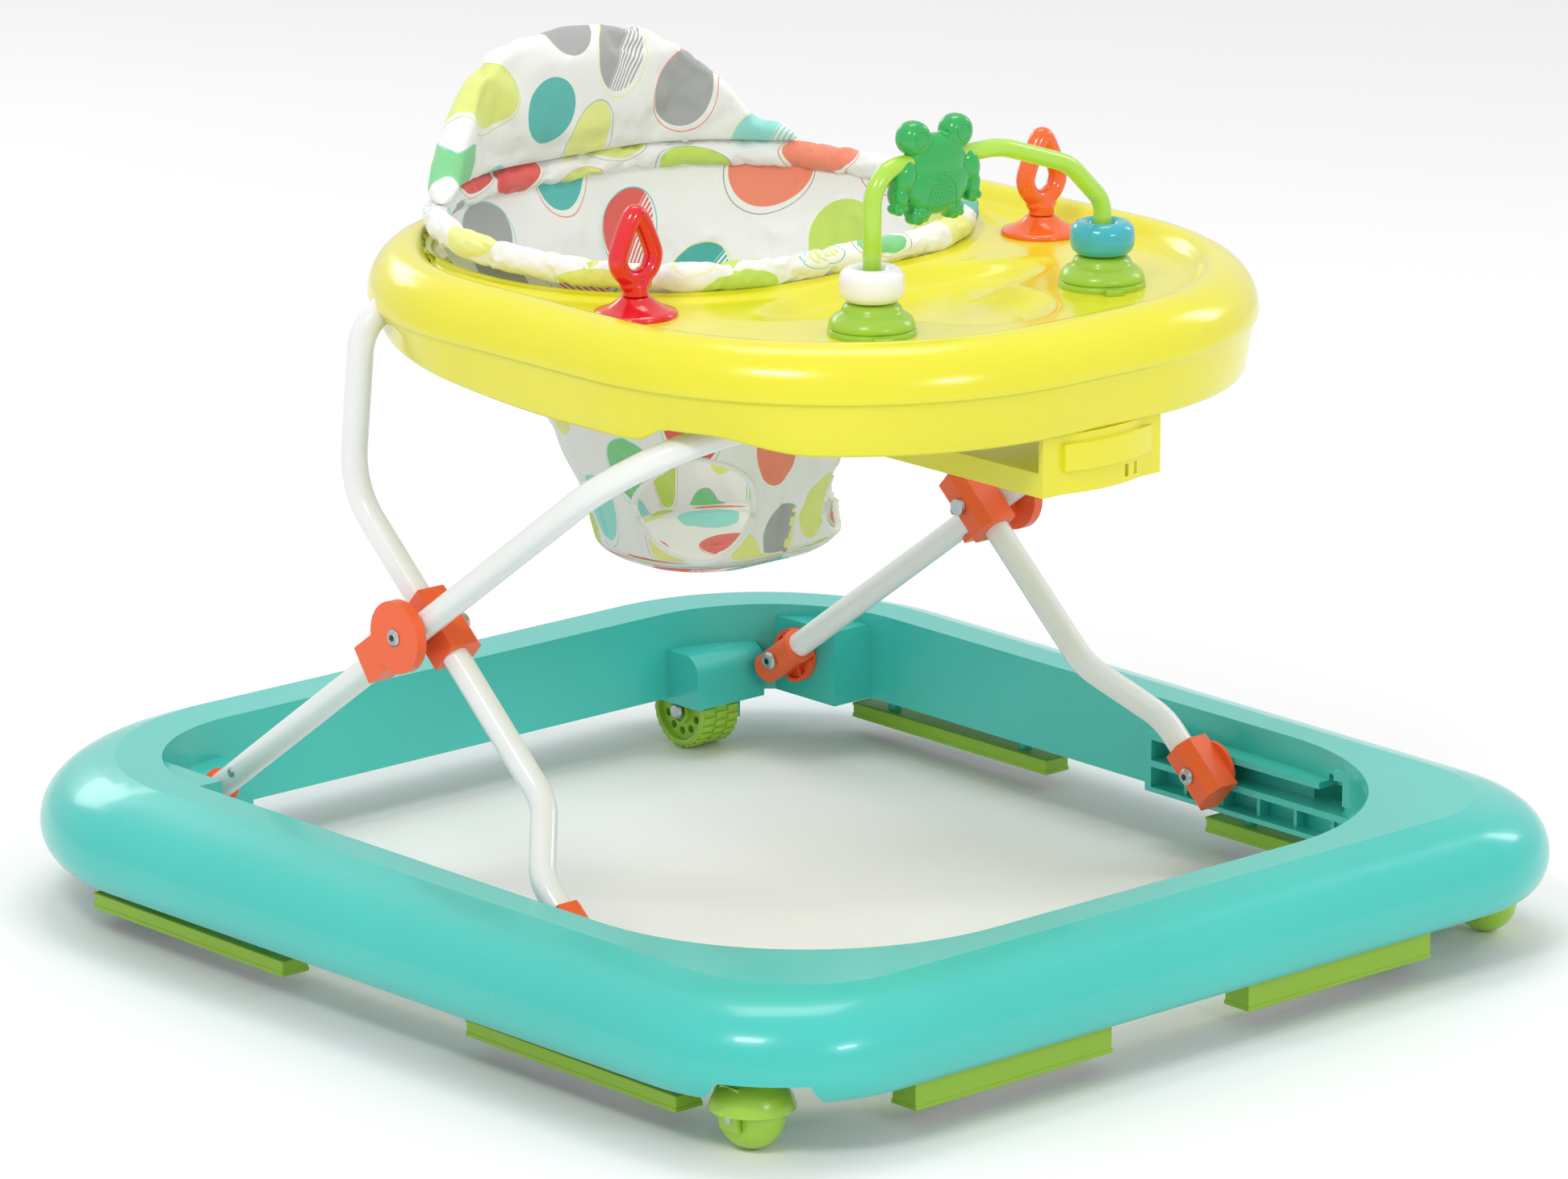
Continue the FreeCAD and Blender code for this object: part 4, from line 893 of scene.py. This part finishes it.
# ---------------------------------------------------------------------------
# Toys
# ---------------------------------------------------------------------------
def blend(name, pieces, material, voxel, relax=8):
    """Melts overlapping meshes into one smooth moulded form; the pieces are used up."""
    bm = bmesh.new()
    for piece in pieces:
        bm.from_mesh(piece.data)
        bpy.data.objects.remove(piece)
    obj = grid_object(name, bm)
    add_modifier(obj, "REMESH", mode="VOXEL", voxel_size=voxel * MM, use_smooth_shade=True)
    add_modifier(obj, "SMOOTH", factor=0.5, iterations=relax)
    apply_modifiers(obj)
    obj.data.materials.clear()
    obj.data.materials.append(material)
    shade_smooth(obj)
    return obj


def ball(centre, radii, turn=0.0):
    """Ellipsoid mesh in mm, turned about Y."""
    bm = bmesh.new()
    bmesh.ops.create_icosphere(bm, subdivisions=4, radius=1)
    obj = grid_object("ball", bm)
    shape = Matrix.Diagonal((*[r * MM for r in radii], 1))
    obj.data.transform(Matrix.Translation(Vector(centre) * MM) @ Matrix.Rotation(turn, 4, "Y") @ shape)
    return obj


def cylinder_between(a, b, radius, steps=40):
    bm = bmesh.new()
    length = (Vector(b) - Vector(a)).length
    bmesh.ops.create_cone(bm, cap_ends=True, segments=steps, radius1=radius, radius2=radius, depth=length)
    obj = grid_object("cylinder", bm)
    aim = (Vector(b) - Vector(a)).to_track_quat("Z", "Y").to_matrix().to_4x4()
    obj.data.transform(Matrix.Translation((Vector(a) + Vector(b)) / 2) @ aim)
    obj.data.transform(Matrix.Scale(MM, 4))
    return obj


def bored(obj, a, b, radius):
    """Cuts a round hole from a to b, in mm."""
    cutter = cylinder_between(a, b, radius, 48)
    add_modifier(obj, "BOOLEAN", operation="DIFFERENCE", solver="EXACT", object=cutter)
    apply_modifiers(obj)
    bpy.data.objects.remove(cutter)
    shade_smooth(obj)
    return obj


def joined(name, first, others, material):
    """One object from several meshes that only touch."""
    whole = bmesh.new()
    whole.from_mesh(first.data)
    for piece in others:
        whole.from_mesh(piece.data)
        bpy.data.objects.remove(piece)
    whole.to_mesh(first.data)
    whole.free()
    first.name = name
    first.data.materials.clear()
    first.data.materials.append(material)
    shade_smooth(first)
    return first


FROG = Vector((-41, -173, 466))


def make_frog():
    """Generic toy frog: broad flat body, two raised eyes, arms with toed hands, webbed feet."""
    x, y, z = FROG
    parts = [
        ball((x, y, z - 5), (23.5, 11, 16.5)), ball((x, y, z + 7), (21, 10.5, 15.5)),
        ball((x, y, z - 11), (20, 10.5, 11)),
    ]
    for flip in (-1, 1):
        parts += [
            ball((x + flip * 15.5, y, z + 21.5), (9.6, 9.8, 9.6)),
            ball((x + flip * 23.5, y, z + 2), (7.0, 8.4, 10), -flip * 0.3),
            ball((x + flip * 26.5, y, z - 9), (4.6, 6.6, 7.5), flip * 0.2),
            ball((x + flip * 12, y, z - 20), (7.5, 7.5, 4.6)),
        ]
        for toe in (-1, 0, 1):
            finger = (x + flip * 27 + toe * 3.2, y - 0.6, z - 16.5 + abs(toe) * 1.3)
            parts.append(ball(finger, (2.1, 4.2, 3.0)))
            web = (x + flip * 13 + toe * 4.0, y - 0.6, z - 24.0 + abs(toe) * 1.0)
            parts.append(ball(web, (2.3, 4.4, 2.5)))
    obj = blend("frog_toy", parts, MATERIALS["frog_green"], 0.62, 5)
    for v in obj.data.vertices:
        d = v.co.y - y * MM
        v.co.y = y * MM + math.copysign(9.4 * MM * math.tanh(abs(d) / (8.2 * MM)), d)
    tree = BVHTree.FromPolygons([v.co for v in obj.data.vertices], [p.vertices for p in obj.data.polygons])

    def on_face(px, pz):
        hit = tree.ray_cast(Vector((px, y - 40, pz)) * MM, Vector((0, 1, 0)))
        return hit[0]

    extra = []
    for i in range(-3, 4):
        for j in range(7):
            px = x + i * 2.5 + (1.25 if j % 2 else 0)
            pz = z - 16 + j * 2.3
            inside = ((px - x) / 9.2) ** 2 + ((pz - z + 15) / 16) ** 2 < 0.86
            spot = on_face(px, pz) if inside else None
            if spot:
                extra.append(ball(spot / MM, (0.62, 0.62, 0.62)))
    outline = []
    for i in range(37):
        turn = math.pi * i / 36
        spot = on_face(x + 10.4 * math.cos(turn), z - 17 + 18 * math.sin(turn))
        if spot:
            outline.append(spot)
    if len(outline) > 8:
        extra.append(sweep("belly_line", outline, 0.5 * MM, MATERIALS["frog_green"], sides=8))
    for flip in (-1, 1):
        ring = []
        for i in range(32):
            turn = TAU * i / 32
            spot = on_face(x + flip * 15.5 + 4.6 * math.cos(turn), z + 22 + 4.6 * math.sin(turn))
            if spot:
                ring.append(spot)
        if len(ring) > 24:
            extra.append(sweep("eye_line", ring, 0.45 * MM, MATERIALS["frog_green"], closed=True, sides=8))
    bored(obj, (x - 50, y, 474), (x + 50, y, 474), 5.22)
    joined("frog_toy", obj, extra, MATERIALS["frog_green"])
    finish_piece(obj, "frog", "frog_green", "frog_bead")


make_frog()


def rounded_path(corners, radii, steps=14):
    """Straight runs in mm joined by tangent arcs."""
    out = [corners[0]]
    for before, corner, after, radius in zip(corners, corners[1:], corners[2:], radii):
        back = (before - corner).normalized()
        ahead = (after - corner).normalized()
        half = back.angle(ahead) / 2
        reach_length = radius / math.tan(half)
        start, end = corner + back * reach_length, corner + ahead * reach_length
        middle = corner + (back + ahead).normalized() * (radius / math.sin(half))
        for i in range(steps + 1):
            spoke = (start - middle).lerp(end - middle, i / steps).normalized() * radius
            out.append(middle + spoke)
    out.append(corners[-1])
    return out


arch_corners = [(-86, 392.4), (-86, 474), (8, 474), (60, 457), (86, 432), (86, 392.4)]
arch = rounded_path([Vector((x, -173, z)) for x, z in arch_corners], [20, 60, 40, 18])
rod = sweep("arch_rod_smooth", [p * MM for p in arch], 5 * MM, MATERIALS["lime_rod"], sides=32)
finish_piece(rod, "tray_unit", "lime_rod", "arch_rod")

# the latch spring shortens as the button is pressed
coil = [Vector((3 * math.cos(TAU * t / 40), -228 + 3 * math.sin(TAU * t / 40), 308.5 + 5.6 * t / 120)) * MM
        for t in range(121)]
spring = sweep("latch_spring_coil", coil, 0.4 * MM, MATERIALS["spring_steel"], sides=10)
finish_piece(spring, "tray_unit", "spring_steel", "latch_spring")
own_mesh(spring)

# places of the toys on the deck
DECK = 384.1
RING_X, RING_Y = 152, -56
ARCH_X, ARCH_Y = 86, -173
COLLAR_HEIGHT = 18.7


def make_ring_toy(side_name, side, slot):
    """Rattle that turns on a flared foot: a fat loop drawn up to a soft point."""
    tint = MATERIALS[slot]
    foot = Vector((side * RING_X, RING_Y, DECK))
    flare = [
        (0, 0), (22.4, 0), (23, 0.5), (23, 2.6), (22.2, 3.6), (19, 4.6), (15, 6.2), (11.6, 8.4),
        (9.4, 10.4), (8.6, 11.3), (7.8, 11.5), (0, 11.5)]
    flange = lathe(f"toy_foot_{side_name}", flare, foot, tint, steps=96)
    finish_piece(flange, "tray_unit", slot, f"toy_flange_{side_name}")
    drop = []
    steps = 96
    for i in range(steps):
        turn = TAU * i / steps
        lift = max(0, math.sin(turn))
        wide = 12.6 * math.cos(turn) * (1 - 0.36 * lift ** 1.5)
        tall = 12.4 * math.sin(turn) + 11.2 * lift ** 2.2
        drop.append((foot + Vector((wide, 0, 33.5 + tall))) * MM)
    band = sweep("band", drop, 5.2 * MM, tint, closed=True, sides=28, deep=1.08)
    root = ball(foot + Vector((0, 0, 18.5)), (10.5, 6.4, 5.5))
    stem = cylinder_between(foot + Vector((0, 0, 11.9)), foot + Vector((0, 0, 18)), 7.4)
    toy = blend(f"ring_{side_name}_shape", [band, root, stem], tint, 0.6, 7)
    finish_piece(toy, f"ring_{side_name}", slot, f"toy_ring_{side_name}")


def collar_lobes(turn, height):
    """Four shallow flats on the upper tier of an arch collar."""
    if height >= 18.4:
        return 1
    return 1 - 0.045 * smoothstep(height, 7, 15) * (0.5 + 0.5 * math.cos(4 * turn))


def make_arch_clip(side_name, place):
    """Clip of the arch: split collar below, bowl-shaped tiers above, a release tab in front."""
    tint = MATERIALS["lime_plastic"]
    tiers = [
        (0, 0), (23.2, 0), (24, 0.7), (24, 3.6), (23.5, 4.1), (22.7, 4.2), (22.7, 4.7), (23.4, 4.9),
        (23.6, 5.6), (23.3, 7.2), (22.2, 9.4), (20.0, 11.6), (17.6, 12.8), (16.8, 13.4), (16.4, 14.6),
        (15.6, 16.4), (13.8, 17.8), (11, 18.5), (5.2, 18.5), (5.2, 8), (0, 8)]
    clip = lathe(f"arch_collar_{side_name}", tiers, place, tint, steps=128, wobble=collar_lobes)
    finish_piece(clip, "tray_unit", "lime_plastic", f"arch_clip_{side_name}")
    tab_place = place + Vector((-13, -23.2, 2.4))
    tab = box_piece(f"arch_tab_{side_name}", tab_place, (10, 4.4, 3.4), 0.7, tint, turn=-0.55)
    finish_piece(tab, "tray_unit", "lime_plastic")


def make_bead(side_name, place, colour):
    """Loose bead on the arch, a fat rounded ring."""
    ring = [
        (5.25, 4.2), (5.6, 2.4), (7.5, 0.8), (11, 0), (14.4, 0.7), (16.8, 2.8), (17.8, 5.6), (18, 9.2),
        (17.8, 13.0), (16.8, 16.0), (14.4, 18.2), (11.4, 18.9), (9, 18.0), (7.2, 15.6), (6.1, 12.6),
        (5.25, 10.8)]
    slot = f"{colour}_gloss"
    bead = lathe(f"bead_{side_name}_shape", ring, place, MATERIALS[slot], steps=96)
    finish_piece(bead, f"{colour}_bead", slot, f"bead_{colour}")


TOY_COLOURS = {"left": ("orange", "teal"), "right": ("red", "white")}
for side_name, side in SIDES:
    ring_colour, bead_colour = TOY_COLOURS[side_name]
    make_ring_toy(side_name, side, f"{ring_colour}_gloss")
    clip_place = Vector((side * ARCH_X, ARCH_Y, DECK))
    make_arch_clip(side_name, clip_place)
    make_bead(side_name, clip_place + Vector((0, 0, COLLAR_HEIGHT)), bead_colour)

# ---------------------------------------------------------------------------
# Wheels
# ---------------------------------------------------------------------------
def make_rear_wheel(side_name, side):
    """Wide wheel: staggered tread blocks, flat face with a ring of round holes."""
    material = MATERIALS["lime_plastic"]
    axle_y, axle_z = 290, 24
    inner, width = 180.4, 29.8
    section = [
        (3.1, 1.5), (6.5, 1.5), (6.8, 0), (8, 0), (8.2, 3.2), (18.4, 3.2), (18.7, 0.4), (19.4, 0),
        (21.4, 0), (22.3, 0.8), (22.4, width - 0.8), (21.4, width), (19.4, width), (18.7, width - 0.4),
        (18.4, width - 2.4), (8.6, width - 2.4), (8.2, width - 0.4), (7.6, width), (3.1, width)]
    core = lathe(f"rear_wheel_{side_name}_core", section, (0, 0, 0), material, steps=128)
    holes = 10
    hole_circle, hole_radius, spare = 13.4, 2.5, 4
    cutters = []
    for i in range(holes):
        turn = TAU * i / holes
        spot = Vector((hole_circle * math.cos(turn), hole_circle * math.sin(turn), 0))
        ends = spot - Vector((0, 0, spare)), spot + Vector((0, 0, width + spare))
        cutters.append(cylinder_between(*ends, hole_radius, 24))
    cutter = joined("holes", cutters[0], cutters[1:], material)
    add_modifier(core, "BOOLEAN", operation="DIFFERENCE", solver="EXACT", object=cutter)
    apply_modifiers(core)
    bpy.data.objects.remove(cutter)
    blocks = []
    around = 26
    for row in range(3):
        for i in range(around):
            turn = TAU * (i + 0.5 * (row % 2)) / around
            block = box_piece("block", (0, 0, 0), (1.9, 3.6, 8.4), 0.5, material)
            move = Matrix.Rotation(turn, 4, "Z") @ Matrix.Translation(
                Vector((22.7, 0, 5.4 + row * (width - 10.8) / 2)) * MM)
            block.data.transform(move)
            blocks.append(block)
    wheel = joined(f"rear_wheel_{side_name}_shape", core, blocks, material)
    wheel.data.transform(Matrix.Rotation(side * math.pi / 2, 4, "Y"))
    wheel.data.transform(Matrix.Translation(Vector((side * inner, axle_y, axle_z)) * MM))
    add_modifier(wheel, "EDGE_SPLIT", split_angle=math.radians(32))
    shade_smooth(wheel)
    finish_piece(wheel, f"rear_wheel_{side_name}_body", "lime_plastic", f"rear_wheel_{side_name}")


for side_name, side in SIDES:
    make_rear_wheel(side_name, side)


# ---------------------------------------------------------------------------
# Sockets of the screws, and lines moulded into the stop pads
# ---------------------------------------------------------------------------
def reach(name):
    """Lowest and highest corner of a CAD node, in mm."""
    node = NODES[name]
    corners = [node.matrix_world @ v.co for v in node.data.vertices]
    low = Vector([min(c[k] for c in corners) for k in range(3)]) / MM
    high = Vector([max(c[k] for c in corners) for k in range(3)]) / MM
    return low, high


def screw_socket(bolt, body, side, radius=2.1):
    """Six-sided socket, drawn as a dark disc of painted shade in place of the recess, and a raised rim on
    the outer face of a screw head.
    """
    low, high = reach(bolt)
    middle = (low + high) / 2
    face = high.x if side > 0 else low.x
    deep, proud = 0.6, 0.05
    socket = cylinder_between((face - side * deep, middle.y, middle.z),
                              (face + side * proud, middle.y, middle.z), radius, 6)
    socket.name = f"{bolt}_socket"
    # the socket's dark colour is painted shade for the depth of the recess
    socket.data.materials.append(socket_painted_shade)
    finish_piece(socket, body, "zinc_steel")
    rim = lathe(f"{bolt}_rim", [(2.5, 0), (3.3, 0), (3.3, 0.3), (2.9, 0.45), (2.5, 0.3)],
                (face - side * 0.05, middle.y, middle.z), MATERIALS["zinc_steel"],
                axis="X" if side > 0 else "-X", steps=40)
    finish_piece(rim, body, "zinc_steel")


def pad_bands(name):
    """Sole and upper lip that stand a little proud of a stop pad."""
    low, high = reach(name)
    centre = (low + high) / 2
    proud = 0.7
    wide, long = high.x - low.x + proud, high.y - low.y + proud
    rubber = MATERIALS["lime_rubber"]
    for label, z, thick, edge in (("sole", low.z + 1.3, 2.6, 0.5), ("lip", high.z - 1.2, 1.8, 0.4)):
        band = box_piece(f"{name}_{label}", (centre.x, centre.y, z), (wide, long, thick), edge, rubber)
        finish_piece(band, "base", "lime_rubber")


for side_name, side in SIDES:
    screw_socket(f"hinge_bolt_{side_name}", "outer_frame", side)
    screw_socket(f"foot_bolt_{side_name}", "inner_frame", -side)
    screw_socket(f"pivot_bolt_{side_name}", "base", -side)
    for pad in ("side_rear", "side_front", "front"):
        pad_bands(f"stop_pad_{pad}_{side_name}")

# ---------------------------------------------------------------------------
# CAD parts that stay in view, with rounded edges
# ---------------------------------------------------------------------------
EDGE_WIDTH = {
    "pivot_socket": 0.8, "hinge_clasp": 1.2, "hinge_block": 1.6, "foot_shoe": 1.6, "stop_pad_front": 0.8,
    "stop_pad_side_front": 0.8, "stop_pad_side_rear": 0.8, "caster_fork": 0.5, "hinge_bolt": 0.4,
    "pivot_bolt": 0.4, "foot_bolt": 0.4, "snap_button": 0.3, "tray_pivot_clip": 0.8,
}
for side_name, _ in SIDES:
    for part, width in EDGE_WIDTH.items():
        soften_cad(f"{part}_{side_name}", width)
for name in ("height_housing", "height_latch"):
    soften_cad(name, 0.9)
